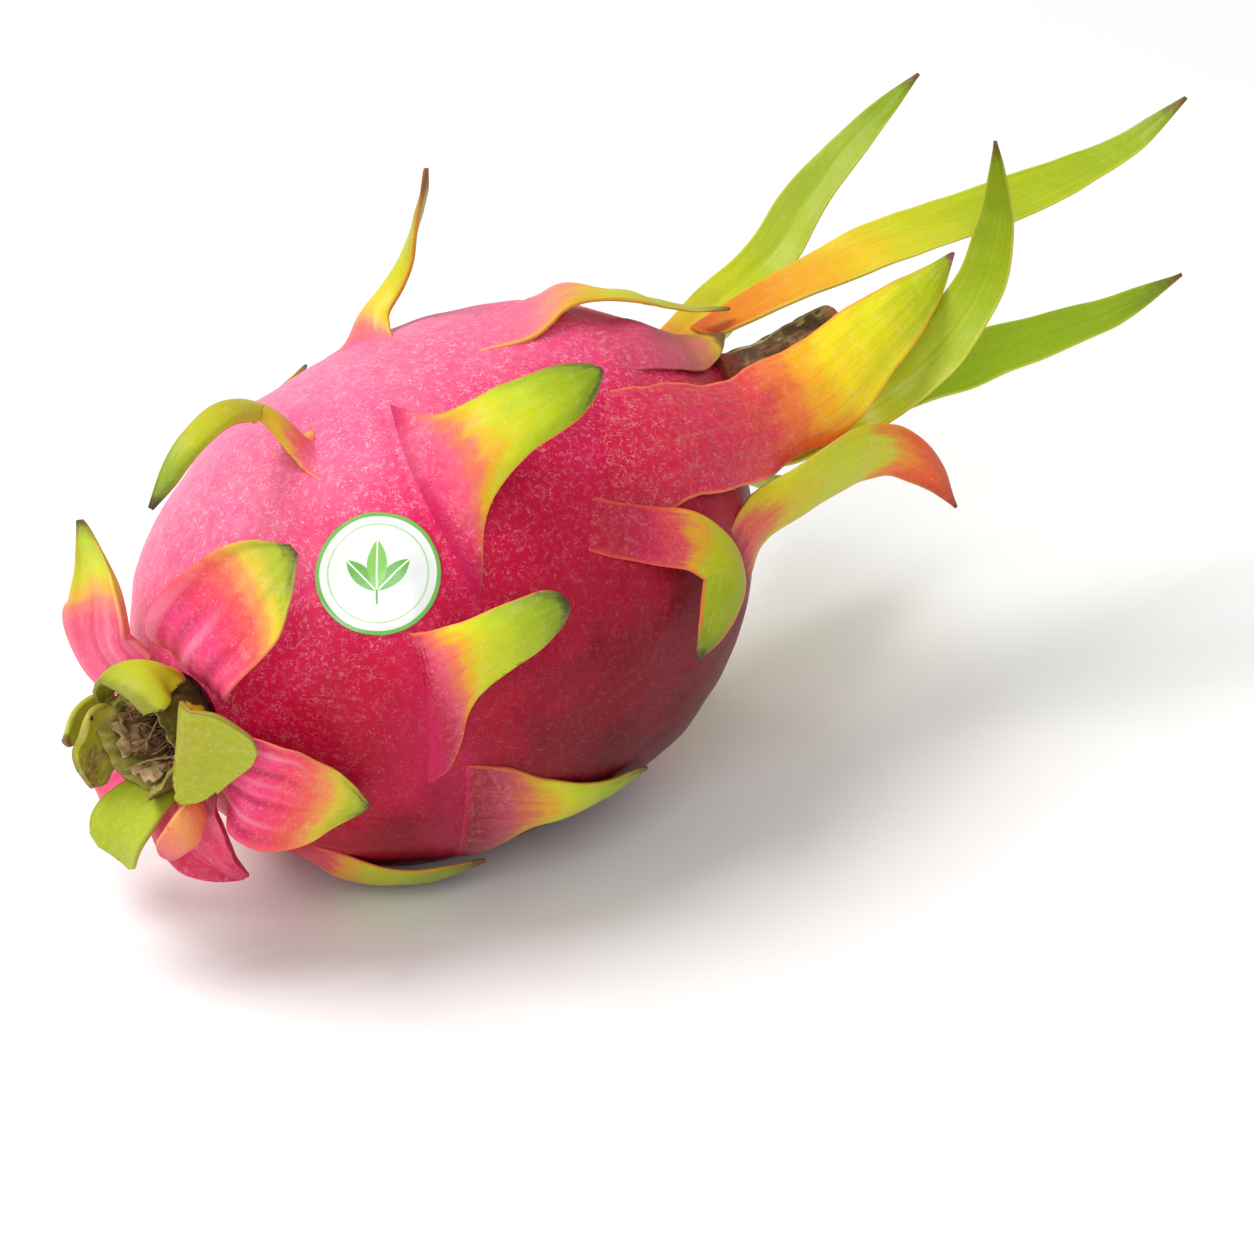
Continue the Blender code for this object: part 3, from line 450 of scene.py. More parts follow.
# ---------------------------------------------------------------- the blades
def centreline(points, start, n):
    """A smooth curve through the points, leaving the first one along start."""
    p = np.array(points, float)
    c = np.concatenate([[0.0], np.cumsum(np.linalg.norm(np.diff(p, axis=0), axis=1))])
    m = np.zeros_like(p)
    for i in range(1, len(p) - 1):
        a, b = c[i] - c[i - 1], c[i + 1] - c[i]
        m[i] = ((p[i] - p[i - 1]) / a * b + (p[i + 1] - p[i]) / b * a) / (a + b)
    m[-1] = (p[-1] - p[-2]) / (c[-1] - c[-2]) * 1.5 - m[-2] * 0.5 if len(p) > 2 else (p[-1] - p[-2]) / (c[-1] - c[-2])
    m[0] = start if start is not None else ((p[1] - p[0]) / (c[1] - c[0]) * 1.5 - m[1] * 0.5 if len(p) > 2 else m[-1])
    dense = []
    for s in np.linspace(0.0, c[-1], 200):
        i = min(np.searchsorted(c, s, side="right") - 1, len(p) - 2)
        h = c[i + 1] - c[i]
        t = (s - c[i]) / h
        dense.append(
            p[i] * (2 * t**3 - 3 * t**2 + 1)
            + m[i] * h * (t**3 - 2 * t**2 + t)
            + p[i + 1] * (3 * t**2 - 2 * t**3)
            + m[i + 1] * h * (t**3 - t**2)
        )
    dense = np.array(dense)
    run = np.concatenate([[0.0], np.cumsum(np.linalg.norm(np.diff(dense, axis=0), axis=1))])
    at = np.linspace(0.0, run[-1], n)
    return np.stack([np.interp(at, run, dense[:, k]) for k in range(3)], -1)


def near_skin(tree, points):
    """Nearest points on the fruit with the outward normals there."""
    found = np.empty_like(points)
    normals = np.empty_like(points)
    for i, p in enumerate(points):
        loc, nor, _, _ = tree.find_nearest(Vector(p))
        found[i], normals[i] = loc, nor
    return found, normals


def close_sheet(top, low):
    """One closed body from an upper and a lower grid of the same size."""
    rows, cols = top.shape[:2]
    n = rows * cols
    verts = np.concatenate([top.reshape(-1, 3), low.reshape(-1, 3)])
    g = lambda i, j, s: s * n + i * cols + j
    faces = []
    for i in range(rows - 1):
        for j in range(cols - 1):
            faces.append((g(i, j, 0), g(i, j + 1, 0), g(i + 1, j + 1, 0), g(i + 1, j, 0)))
            faces.append((g(i, j, 1), g(i + 1, j, 1), g(i + 1, j + 1, 1), g(i, j + 1, 1)))
    edge = (
        [(0, j) for j in range(cols)]
        + [(i, cols - 1) for i in range(1, rows)]
        + [(rows - 1, j) for j in range(cols - 2, -1, -1)]
        + [(i, 0) for i in range(rows - 2, 0, -1)]
    )
    for (a, b_), (c, d) in zip(edge, edge[1:] + edge[:1]):
        faces.append((g(a, b_, 0), g(a, b_, 1), g(c, d, 1), g(c, d, 0)))
    return verts, faces


SMOOTH_EDGE = 0.30  # thickness of a blade's margin, mm


def wob(p, size, seed, parts=7):
    """A smooth pseudo-random field, about -1 to 1, whose lumps are about size mm."""
    r = np.random.default_rng(seed)
    d = unit(r.normal(size=(parts, 3))) * (2 * math.pi / size) * r.uniform(0.6, 1.5, (parts, 1))
    f = r.uniform(0, 2 * math.pi, parts)
    return np.sin(p @ d.T + f).sum(-1) / math.sqrt(parts) * 0.8


def build_tree(verts, faces):
    return BVHTree.FromPolygons([tuple(v) for v in verts], faces)


def ring_faces(rings, sides, caps=True):
    faces = []
    for i in range(rings - 1):
        for j in range(sides):
            k = (j + 1) % sides
            faces.append((i * sides + j, i * sides + k, (i + 1) * sides + k, (i + 1) * sides + j))
    if caps:
        faces.append(tuple(reversed(range(sides))))
        faces.append(tuple(range((rings - 1) * sides, rings * sides)))
    return faces


# --------------------------------------------------------------- fine blades
def middle(b, tree, rows, cols, rise):
    """The blade's middle surface. The root is sunk into the skin."""
    rv = np.linspace(0.0, 1.0, rows)
    thick_at = curve(b["thick"], rv)
    if "root" in b:
        x, th = b["root"][0], math.radians(b["root"][1])
        p0, n0 = skin(x, th), skin_normal(x, th)
        if "head" in b:
            e = 1e-3
            ahead = unit(skin(x + e, th) - skin(x - e, th))
            flat = ahead * math.cos(math.radians(b["head"])) + np.cross(ahead, n0) * math.sin(math.radians(b["head"]))
        else:
            toward = np.array(b["path"][0], float) - p0
            flat = toward - n0 * np.dot(toward, n0)
        lift = math.radians(b.get("lift", 12.0))
        start = unit(flat) * math.cos(lift) + n0 * math.sin(lift)
    else:
        p0 = np.array(b["base"], float)
        n0 = unit(np.array(b["face"], float))
        start = None
    n = 240
    line = centreline([p0, *b["path"]], start, n)
    length = np.linalg.norm(np.diff(line, axis=0), axis=1).sum()
    t = unit(np.gradient(line, axis=0))
    nor = np.empty_like(t)
    cur = n0
    for i in range(n):
        cur = unit(cur - t[i] * np.dot(cur, t[i]))
        nor[i] = cur
    v = np.linspace(0.0, 1.0, n)
    tw = np.radians(curve(b["twist"], v)) if "twist" in b else np.zeros(n)
    side = np.cross(t, nor)
    nor, side = (
        nor * np.cos(tw)[:, None] + side * np.sin(tw)[:, None],
        side * np.cos(tw)[:, None] - nor * np.sin(tw)[:, None],
    )
    pick = lambda a: np.stack([np.interp(rv, v, a[:, k]) for k in range(3)], -1)
    line, nor, side, ahead = pick(line), unit(pick(nor)), unit(pick(side)), unit(pick(t))
    width = curve(b["width"], rv)
    cup = np.radians(curve(b["cup"], rv)) if "cup" in b else np.zeros(rows)
    skew = curve(b["skew"], rv) if "skew" in b else np.zeros(rows)
    fold = curve(b["fold"], rv) if "fold" in b else np.zeros(rows)
    u = np.sin(np.linspace(-1.0, 1.0, cols) * math.pi / 2 * 0.985) / math.sin(math.pi / 2 * 0.985)
    u = 0.5 * u + 0.5 * np.linspace(-1, 1, cols)
    half = width[:, None] / 2
    seed = b.get("seed", 1)
    # margins wander a little
    half = half * (1.0 + 0.05 * np.sign(u)[None, :] * wob(np.stack([rv * length, 0 * rv, 0 * rv], -1), 17.0, seed)[:, None] * smooth(rv * 5)[:, None])
    a = cup[:, None] / 2 * u[None, :]
    safe = np.where(np.abs(cup) < 1e-3, 1e-3, cup)[:, None] / 2
    out = np.where(np.abs(cup)[:, None] < 1e-3, half * u[None, :], half * np.sin(a) / safe)
    down = np.where(np.abs(cup)[:, None] < 1e-3, 0.0, half * (1 - np.cos(a)) / safe)
    up = fold[:, None] * np.sqrt(u[None, :] ** 2 + 0.01) * half
    edge_roll = b.get("roll", 0.0)
    up = up + edge_roll * smooth((np.abs(u)[None, :] - 0.6) / 0.4) ** 2 * half * smooth(rv[:, None] * 3)
    up = up + b.get("ripple", 0.3) * u[None, :] ** 2 * np.sin(rv[:, None] * length / 5.5 + 1.9 * np.sign(u)[None, :] + seed) * smooth(rv[:, None] * 3)
    along = (b.get("bulge", 0.0) * (1 - u**2) - b.get("slant", 0.0) * u)[None, :] * (1 - rv[:, None]) ** 2
    grid = (
        line[:, None, :]
        + side[:, None, :] * (out + skew[:, None])[..., None]
        + nor[:, None, :] * (up - down)[..., None]
        + ahead[:, None, :] * along[..., None]
    )
    thick = thick_at[:, None] * (1 - 0.6 * np.abs(u[None, :]) ** 2.2)
    thick = np.maximum(thick * b.get("flesh", 1.0), SMOOTH_EDGE)
    k = np.ones((rows, cols))
    if "root" in b:
        hold = b.get("hold", 0.3)
        k = smooth(rv[:, None] / (hold * (1 + b.get("hug", 0.6) * u[None, :] ** 2)))
        flat = grid.reshape(-1, 3)
        near, nn = near_skin(tree, flat)
        r = curve(rise, rv)[:, None] * (1.0 - 0.25 * u[None, :] ** 4)
        # a sunk root is thick enough to leave nothing open under it
        thick = np.maximum(thick, (1 - k) * 1.1)
        lay = (near + nn * (r - thick / 2).reshape(-1, 1)).reshape(grid.shape)
        grid = lay + (grid - lay) * k[..., None]
        # the free part stays outside the skin
        flat = grid.reshape(-1, 3)
        near, nn = near_skin(tree, flat)
        gap = ((flat - near) * nn).sum(1)
        need = (r - thick / 2).reshape(-1) + 0.5 * k.reshape(-1)
        push = np.where((gap < need) & (np.linalg.norm(flat - near, axis=1) < 12.0), need - gap, 0.0)
        grid = (flat + nn * push[:, None]).reshape(grid.shape)
    du = np.gradient(grid, axis=1)
    dv = np.gradient(grid, axis=0)
    normal = unit(np.cross(du, dv))
    flip = np.sign((normal * nor[:, None, :]).sum(-1).mean()) or 1.0
    return dict(grid=grid, normal=normal * flip, thick=thick, u=u, rv=rv, half=np.abs(half) * np.ones((rows, cols)), length=length, free=k, flip=flip)


def fine_blade(name, b, tree, look):
    rows, cols = look["res"]
    s = middle(b, tree, rows, cols, look["rise"])
    u, rv = s["u"][None, :], s["rv"][:, None]
    seed = b.get("seed", 1)
    run = rv * s["length"]
    cross = u * s["half"]
    # lengthwise ribs, deeper near the root, and the mid rib
    rib = np.zeros((rows, cols))
    if look["ribs"]:
        ph = 0.9 * wob(np.stack([run * np.ones_like(u), 0 * cross, 0 * cross], -1).reshape(-1, 3), 28.0, seed + 5).reshape(rows, cols)
        rib = 0.6 * np.cos(u * look["ribs"] * math.pi + ph * 0.5 + look.get("rib_phase", 0.0)) + 0.4 * np.cos(u * look["ribs"] * 2.3 * math.pi + ph + seed)
    fade = smooth(rv * 6) * smooth((1.02 - rv) / 0.55)
    h = look["rib_height"] * rib * fade
    fine_p = np.stack([run * 0.22 * np.ones_like(u), cross * 1.0, 0 * cross + seed * 9.0], -1).reshape(-1, 3)
    h = h + look["relief"] * wob(fine_p, 2.6, seed + 2, 9).reshape(rows, cols) * smooth(rv * 8)
    h = h + look["lump"] * wob(s["grid"].reshape(-1, 3), 9.0, seed + 3).reshape(rows, cols) * smooth(rv * 6)
    n = s["normal"]
    top = s["grid"] + n * (s["thick"] / 2 + h)[..., None]
    low = s["grid"] - n * (s["thick"] / 2 - 0.5 * h)[..., None]
    low[..., 2] = np.maximum(low[..., 2], 0.15)
    top[..., 2] = np.maximum(top[..., 2], 0.45)
    verts, faces = close_sheet(top, low)
    both = lambda a: np.concatenate([a.reshape(-1), a.reshape(-1)])
    ones = np.ones((rows, cols))
    edge = np.minimum((1 - np.abs(u)) * s["half"], (1.0 - rv) * s["length"] + 0 * u)
    attrs = {
        "along": both(rv * ones),
        "across": both(u * ones),
        "edge": both(edge * ones),
        "rib": both(rib),
        "cross_mm": both(cross * ones),
        "run_mm": both(run * ones),
        "under": np.concatenate([np.zeros(rows * cols), np.ones(rows * cols)]),
        "dry": both(look["dry"](u, rv) * ones if "dry" in look else 0 * ones),
    }
    return verts, faces, attrs


# ------------------------------------------------------------------ the skin
def skin_piece(rows, sides, creases):
    """The fruit's skin, with a groove along every bract's root and a low swell
    round it."""
    th = np.arange(sides) * 2 * math.pi / sides
    x = stations(rows)
    base = np.stack([skin(np.full(sides, a), th) for a in x])
    e = 1e-3
    nor = np.stack([skin_normal(np.full(sides, a), th) for a in x])
    p = base.reshape(-1, 3)
    n = nor.reshape(-1, 3)
    off = np.zeros(len(p))
    crease = np.zeros(len(p))
    halo = np.zeros(len(p))
    for line, strength, swell in creases:
        c, reach = line.mean(0), np.linalg.norm(line - line.mean(0), axis=1).max() + 26.0
        near = np.where(np.linalg.norm(p - c, axis=1) < reach)[0]
        q = p[near]
        best = np.full(len(near), 1e9)
        pos = np.zeros(len(near))
        for i in range(len(line) - 1):
            a, b = line[i], line[i + 1]
            d = b - a
            t = np.clip(((q - a) @ d) / max(d @ d, 1e-9), 0, 1)
            dist = np.linalg.norm(q - (a + t[:, None] * d), axis=1)
            better = dist < best
            best = np.where(better, dist, best)
            pos = np.where(better, (i + t) / (len(line) - 1), pos)
        ends = smooth(pos / 0.12) * smooth((1 - pos) / 0.12)
        off[near] += swell * np.exp(-((best / 8.0) ** 2)) - 0.45 * strength * ends * np.exp(-((best / 0.95) ** 2))
        # mask for the painted shade along the root groove
        crease[near] = np.maximum(crease[near], strength * ends * np.exp(-((best / 0.8) ** 2)))
        halo[near] = np.maximum(halo[near], min(1.0, 0.4 + strength) * np.exp(-((best / 4.0) ** 2)))
    off += 0.30 * wob(p, 26.0, 3) + 0.10 * wob(p, 9.0, 4) + 0.022 * wob(p, 2.6, 5, 10)
    flat = smooth((p[:, 2] - 0.4) / 5.0)
    tip = smooth((p[:, 0] - PROFILE[0][0]) / 3.0) * smooth((PROFILE[-1][0] - p[:, 0]) / 3.0)
    q = p + n * (off * flat * tip)[:, None]
    q[:, 2] = np.maximum(q[:, 2], 0.0)
    rings = list(q.reshape(rows, sides, 3))
    marks = {"crease": list(crease.reshape(rows, sides)), "halo": list(halo.reshape(rows, sides))}
    for at, depth in ((0, NAVEL_PIT), (-1, -STEM_PIT)):
        rim = rings[at]
        mid = rim.mean(axis=0)
        for k, (f, g) in enumerate(((0.86, 0.35), (0.7, 0.8), (0.55, 1.0))):
            floor = mid + (base[at] - mid) * f
            floor[:, 0] += depth * g
            rings.insert(0 if at == 0 else len(rings), floor)
            for m in marks.values():
                m.insert(0 if at == 0 else len(m), np.zeros(sides))
    verts = np.concatenate(rings)
    faces = ring_faces(len(rings), sides)
    return verts, faces, {k: np.concatenate(m) for k, m in marks.items()}


# ------------------------------------------------------------------ objects
def make(name, verts, faces, attrs, mat, nodes, angle=60.0):
    mesh = bpy.data.meshes.new(name)
    mesh.from_pydata([tuple(v) for v in (np.asarray(verts) * MM).tolist()], [], [tuple(f) for f in faces])
    mesh.update()
    for k, a in attrs.items():
        at = mesh.attributes.new(k, "FLOAT", "POINT")
        at.data.foreach_set("value", np.asarray(a, np.float32))
    mesh.materials.append(mat)
    mesh.shade_smooth()
    if angle:
        mesh.set_sharp_from_angle(angle=math.radians(angle))
    ob = bpy.data.objects.new(name, mesh)
    bpy.context.scene.collection.objects.link(ob)
    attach(ob, "root")
    if nodes:
        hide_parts(*nodes)
    return ob


def flip_out(verts, faces):
    """Faces turned so that the body's volume is positive."""
    v = np.asarray(verts)
    vol = 0.0
    for f in faces:
        a = v[f[0]]
        for i in range(1, len(f) - 1):
            vol += np.dot(a, np.cross(v[f[i]], v[f[i + 1]]))
    return [tuple(reversed(f)) for f in faces] if vol < 0 else faces


# ------------------------------------------------------------ blade families
TONGUE = dict(
    width=[(0.0, 1.0), (0.12, 0.86), (0.3, 0.52), (0.5, 0.33), (0.72, 0.27), (0.88, 0.19), (1.0, 0.03)],
    thick=[(0.0, 1.2), (0.2, 2.4), (0.6, 1.6), (1.0, 0.8)],
)
PETAL = dict(
    width=[(0.0, 0.62), (0.2, 0.86), (0.45, 1.0), (0.65, 0.92), (0.85, 0.55), (1.0, 0.05)],
    thick=[(0.0, 1.6), (0.5, 1.3), (1.0, 0.8)],
)
STRAP = dict(
    width=[(0.0, 0.62), (0.2, 0.86), (0.45, 1.0), (0.7, 0.8), (0.88, 0.44), (1.0, 0.05)],
    thick=[(0.0, 1.8), (0.5, 1.2), (1.0, 0.7)],
)


def blade(family, wide, path, root=None, base=None, face=None, **more):
    b = dict(path=path, **more)
    b["width"] = [(v, w * wide) for v, w in (more.get("width") or family["width"])]
    b["thick"] = more.get("thick", family["thick"])
    if root is not None:
        b["root"] = root
    else:
        b["base"], b["face"] = base, face
    return b


NAVEL = dict(thick=[(0.0, 1.6), (0.5, 2.0), (1.0, 1.1)])

# Name: how the blade runs. Roots are (station, angle) on the fruit; paths are
# points (x, y, z) that the centreline passes through.
BLADES = {
    # -- side bracts: the green-tipped tongues on the fruit
    "side_bract_upper_near": blade(
        TONGUE, 41.0, [(-27.0, -29.0, 88.5), (-17.0, -32.5, 92.5), (-5.0, -34.0, 94.6)],
        root=(-34.0, 34.0), lift=16.0, hold=0.36, gap=1.0, slant=5.5, bulge=-1.5, cols=7, cup=[(0, 50), (0.3, 45), (0.6, 55), (1, 40)],
        width=[(0.0, 1.0), (0.15, 0.74), (0.32, 0.43), (0.5, 0.34), (0.75, 0.3), (0.9, 0.2), (1.0, 0.03)],
    ),
    "side_bract_middle_near": blade(
        TONGUE, 26.0, [(-44.5, -40.5, 57.0), (-38.5, -47.0, 63.0), (-31.5, -51.0, 66.8)],
        root=(-50.5, 83.0), head=-22.0, lift=16.0, hold=0.36, slant=8.0, bulge=2.0, cols=7, cup=[(0, 45), (0.3, 40), (0.6, 50), (1, 40)],
        width=[(0.0, 1.0), (0.15, 0.8), (0.32, 0.54), (0.5, 0.43), (0.75, 0.37), (0.9, 0.28), (1.0, 0.1)],
    ),
    "side_bract_low_near": blade(
        TONGUE, 32.0, [(-25.0, -38.5, 19.5), (-9.0, -38.5, 17.0), (2.0, -38.0, 17.5)],
        root=(-41.0, 124.0), head=-6.0, lift=5.0, hold=0.55, slant=-4.0, cols=7, cup=[(0, 50), (0.5, 50), (1, 30)],
        width=[(0.0, 1.0), (0.2, 0.85), (0.38, 0.52), (0.55, 0.34), (0.8, 0.24), (1.0, 0.03)],
    ),
    "side_bract_top_curled": blade(
        TONGUE, 17.5, [(-47.5, 3.0, 90.0), (-58.5, 1.0, 93.8), (-66.0, 0.0, 91.9), (-75.5, 0.0, 83.0)],
        root=(-40.5, 4.5), head=180.0, lift=40.0, hold=0.16, slant=6.0, rows=13, cup=[(0, 25), (0.5, 40), (1, 60)],
        width=[(0.0, 1.0), (0.1, 0.7), (0.2, 0.42), (0.35, 0.33), (0.6, 0.3), (0.85, 0.22), (1.0, 0.03)],
    ),
    "side_bract_top_upright": blade(
        TONGUE, 18.0, [(-2.5, 23.0, 88.5), (2.0, 22.5, 92.5), (4.6, 21.0, 98.0), (4.8, 18.0, 106.0), (4.2, 15.0, 115.2)],
        root=(-11.0, -26.0), lift=12.0, hold=0.2, cup=[(0, 30), (0.5, 60), (1, 30)], twist=[(0, 0), (1, -35)],
        width=[(0.0, 1.0), (0.15, 0.66), (0.35, 0.42), (0.6, 0.36), (0.85, 0.2), (1.0, 0.03)],
    ),
    "side_bract_shoulder_near": blade(
        TONGUE, 11.0, [(0.4, -42.0, 64.4), (7.6, -45.8, 61.8), (10.6, -48.8, 57.0), (6.4, -51.2, 51.0), (0.5, -51.4, 44.2)],
        root=(-14.5, 53.2), lift=1.0, hold=0.4, cup=[(0, 18), (0.5, 30), (1, 30)],
        width=[(0.0, 0.88), (0.25, 0.9), (0.5, 1.0), (0.72, 0.9), (0.88, 0.55), (1.0, 0.05)],
        thick=[(0.0, 0.7), (0.4, 0.9), (0.6, 1.2), (1.0, 0.8)],
    ),
    "side_bract_upper_far": blade(
        TONGUE, 34.0, [(-17.0, 39.0, 66.0), (-7.0, 43.5, 67.0), (3.0, 46.5, 69.5)],
        root=(-31.0, -70.0), head=0.0, lift=12.0, hold=0.4, slant=3.0, cols=7, cup=[(0, 48), (0.5, 50), (1, 40)],
    ),
    "side_bract_middle_far": blade(
        TONGUE, 32.0, [(-34.0, 41.0, 35.0), (-22.0, 47.5, 36.5), (-13.0, 52.5, 40.0)],
        root=(-48.0, -104.0), lift=14.0, hold=0.4, slant=-2.0, gap=1.0, cup=[(0, 45), (0.5, 45), (1, 40)],
    ),
    "side_bract_low_far": blade(
        TONGUE, 28.0, [(0.0, 34.0, 15.0), (12.0, 35.0, 12.5), (23.0, 34.5, 12.5)],
        root=(-16.0, -126.0), head=0.0, lift=6.0, hold=0.5, slant=3.0, cols=7, cup=[(0, 40), (0.5, 45), (1, 30)],
    ),
    "side_bract_shoulder_far": blade(
        TONGUE, 28.0, [(17.0, 44.0, 47.5), (28.0, 46.0, 46.5), (39.0, 49.5, 49.0)],
        root=(2.0, -90.0), head=0.0, lift=8.0, hold=0.42, slant=-2.0, cols=7, cup=[(0, 38), (0.5, 45), (1, 40)],
    ),
    "belly_bract_near": blade(
        PETAL, 16.0, [(-49.0, -14.0, 8.6), (-38.0, -21.5, 5.4), (-27.5, -27.0, 7.0)],
        root=(-56.0, 163.0), lift=0.0, hold=0.3, cup=[(0, 30), (1, 50)],
    ),
    "belly_bract_far": blade(
        TONGUE, 24.0, [(-38.0, 20.0, 6.6), (-27.0, 24.5, 4.6), (-17.0, 28.5, 5.4)],
        root=(-51.0, -152.0), lift=0.0, hold=0.45, cols=7, cup=[(0, 36), (0.5, 40), (1, 30)],
    ),
    "belly_bract_stem_end": blade(
        TONGUE, 26.0, [(34.0, -7.0, 15.0), (44.0, -9.5, 17.0), (54.0, -12.0, 15.5)],
        root=(21.0, 168.0), lift=2.0, hold=0.4, gap=1.1, cols=7, cup=[(0, 40), (0.5, 45), (1, 30)],
    ),
    # -- crown bracts: long bracts whose roots lie on the shoulder of the fruit
    "crown_bract_near": blade(
        STRAP, 26.0, [(8.0, -34.0, 76.6), (21.0, -34.5, 75.0), (38.0, -33.0, 70.8), (55.5, -31.5, 70.8), (71.5, -31.0, 75.0), (84.0, -31.0, 79.3), (96.5, -30.0, 84.6)],
        root=(-3.0, 44.5), lift=3.0, hold=0.42, gap=2.25, slant=6.0, bulge=-2.5, rows=15, cup=[(0, 34), (0.4, 34), (0.7, 50), (1, 40)],
        width=[(0.0, 1.0), (0.2, 0.88), (0.4, 0.76), (0.6, 0.72), (0.8, 0.5), (0.92, 0.25), (1.0, 0.02)],
        thick=[(0.0, 1.6), (0.3, 2.2), (0.6, 1.6), (1.0, 0.8)],
    ),
    "crown_bract_top": blade(
        STRAP, 25.0, [(10.0, -1.5, 91.6), (19.0, -2.5, 92.4), (32.0, -4.0, 89.0), (45.5, -5.0, 82.8), (59.5, -7.0, 78.4)],
        root=(1.5, -3.0), lift=10.0, hold=0.3, slant=9.0, cup=[(0, 30), (0.4, 30), (1, 30)],
        width=[(0.0, 1.0), (0.2, 0.62), (0.4, 0.4), (0.7, 0.3), (0.9, 0.16), (1.0, 0.03)],
        thick=[(0.0, 1.4), (0.3, 2.0), (0.6, 1.4), (1.0, 0.8)],
    ),
    "crown_bract_inner": blade(
        STRAP, 15.0, [(24.0, -13.5, 85.2), (36.0, -13.5, 79.5), (46.0, -12.5, 77.0), (54.0, -10.5, 76.0)],
        root=(13.0, 17.0), lift=2.0, hold=0.6, cup=[(0, 22), (0.5, 40), (1, 30)],
        width=[(0.0, 1.0), (0.3, 1.0), (0.6, 0.8), (0.85, 0.45), (1.0, 0.05)],
        thick=[(0.0, 0.9), (0.5, 1.1), (1.0, 0.7)],
    ),
    "crown_bract_arched": blade(
        STRAP, 13.5, [(32.5, -39.4, 55.4), (42.5, -40.6, 58.2), (55.0, -40.3, 59.4), (69.0, -39.5, 56.2), (81.5, -39.5, 47.0), (88.0, -39.5, 38.5)],
        root=(22.0, 83.0), lift=8.0, hold=0.2, rows=14, cup=[(0, 22), (0.5, 40), (1, 50)],
        width=[(0.0, 1.0), (0.25, 0.85), (0.5, 0.82), (0.75, 0.62), (0.9, 0.34), (1.0, 0.04)],
    ),
    "crown_bract_far": blade(
        STRAP, 24.0, [(24.0, 31.8, 74.0), (39.0, 28.0, 67.0), (54.0, 27.5, 61.5), (70.0, 31.0, 61.0)],
        root=(8.0, -45.0), head=4.0, lift=3.0, hold=0.36, rows=13, cup=[(0, 30), (0.5, 36), (1, 40)],
        width=[(0.0, 1.0), (0.2, 0.84), (0.4, 0.7), (0.65, 0.6), (0.85, 0.34), (1.0, 0.03)],
    ),
    "crown_bract_low": blade(
        STRAP, 24.0, [(39.0, 20.0, 34.0), (50.0, 20.0, 37.0), (64.0, 21.0, 37.5), (78.0, 22.0, 32.0)],
        root=(27.0, -125.0), lift=8.0, hold=0.36, gap=1.0, rows=12, cols=7, cup=[(0, 38), (0.5, 40), (1, 50)],
        width=[(0.0, 1.0), (0.2, 0.78), (0.45, 0.6), (0.7, 0.5), (0.88, 0.28), (1.0, 0.03)],
    ),
    # -- crown leaves: the free green blades round the stem
    "crown_leaf_rear": blade(
        STRAP, 10.0, [(64.0, 3.5, 72.5), (74.5, 6.5, 72.6), (82.5, 7.0, 73.9), (89.5, 6.0, 78.5), (95.0, 5.0, 84.5), (101.0, 4.0, 90.5), (110.5, 2.0, 98.0), (122.0, -1.0, 106.2)],
        base=(53.5, 1.0, 72.0), face=(-0.3, -0.4, 1.0), rows=15, fold=[(0, 0.2), (0.5, 0.3), (1, 0.1)],
    ),
    "crown_leaf_middle": blade(
        STRAP, 12.0, [(64.0, -6.5, 76.0), (75.0, -12.5, 81.0), (89.0, -20.5, 85.8), (111.5, -29.0, 89.2), (138.0, -39.0, 96.8), (149.5, -44.0, 104.3)],
        base=(54.8, -5.5, 74.6), face=(-0.3, 0.1, 1.0), rows=15, fold=[(0, 0.1), (0.5, 0.2), (1, 0.1)], twist=[(0, 0), (0.3, 15), (1, 25)],
    ),
    "crown_leaf_upright": blade(
        STRAP, 11.5, [(64.0, -21.5, 58.5), (75.4, -24.4, 57.4), (81.8, -31.0, 63.7), (89.6, -35.2, 71.4), (95.6, -37.8, 81.4), (96.8, -39.8, 94.1), (93.2, -41.0, 110.0)],
        base=(55.0, -15.8, 60.0), face=(-0.2, -0.4, 0.9), rows=15, fold=[(0, 0.15), (0.5, 0.25), (1, 0.1)], twist=[(0, 0), (1, 15)],
    ),
    "crown_leaf_front": blade(
        STRAP, 11.5, [(62.5, -16.5, 51.4), (74.8, -18.5, 54.0), (84.8, -23.0, 57.0), (104.5, -30.2, 60.4), (118.5, -37.0, 63.2), (133.0, -42.0, 65.2), (147.5, -47.0, 69.6)],
        base=(52.2, -13.2, 53.6), face=(0.0, -0.3, 0.95), rows=15, fold=[(0, 0.15), (0.5, 0.2), (1, 0.1)], twist=[(0, 0), (1, 15)],
    ),
    "crown_leaf_far": blade(
        STRAP, 12.0, [(65.0, 12.0, 58.0), (84.0, 23.0, 52.0), (103.0, 32.0, 48.5), (117.0, 36.0, 50.5)],
        base=(54.0, 4.5, 62.5), face=(0.1, 0.3, 0.95), rows=13, fold=[(0, 0.15), (0.5, 0.25), (1, 0.1)], twist=[(0, 0), (1, -20)],
    ),
    "crown_leaf_low": blade(
        STRAP, 12.0, [(64.0, -1.0, 43.5), (78.0, 0.0, 34.0), (92.0, 1.0, 28.0), (105.0, 2.0, 27.5)],
        base=(54.0, -3.5, 53.6), face=(0.5, 0.0, 0.9), rows=13, fold=[(0, 0.15), (0.5, 0.25), (1, 0.1)], twist=[(0, 0), (1, 15)],
    ),
    # -- petal bracts: they open out round the navel end
    "petal_bract_top": blade(
        PETAL, 20.0, [(-75.5, -8.5, 58.5), (-72.5, -13.0, 67.0), (-62.0, -19.0, 77.0)],
        base=(-70.9, -5.0, 52.5), face=(-0.9, -0.2, 0.2), cup=[(0, 20), (0.5, -20), (1, 10)], rows=12, cols=7,
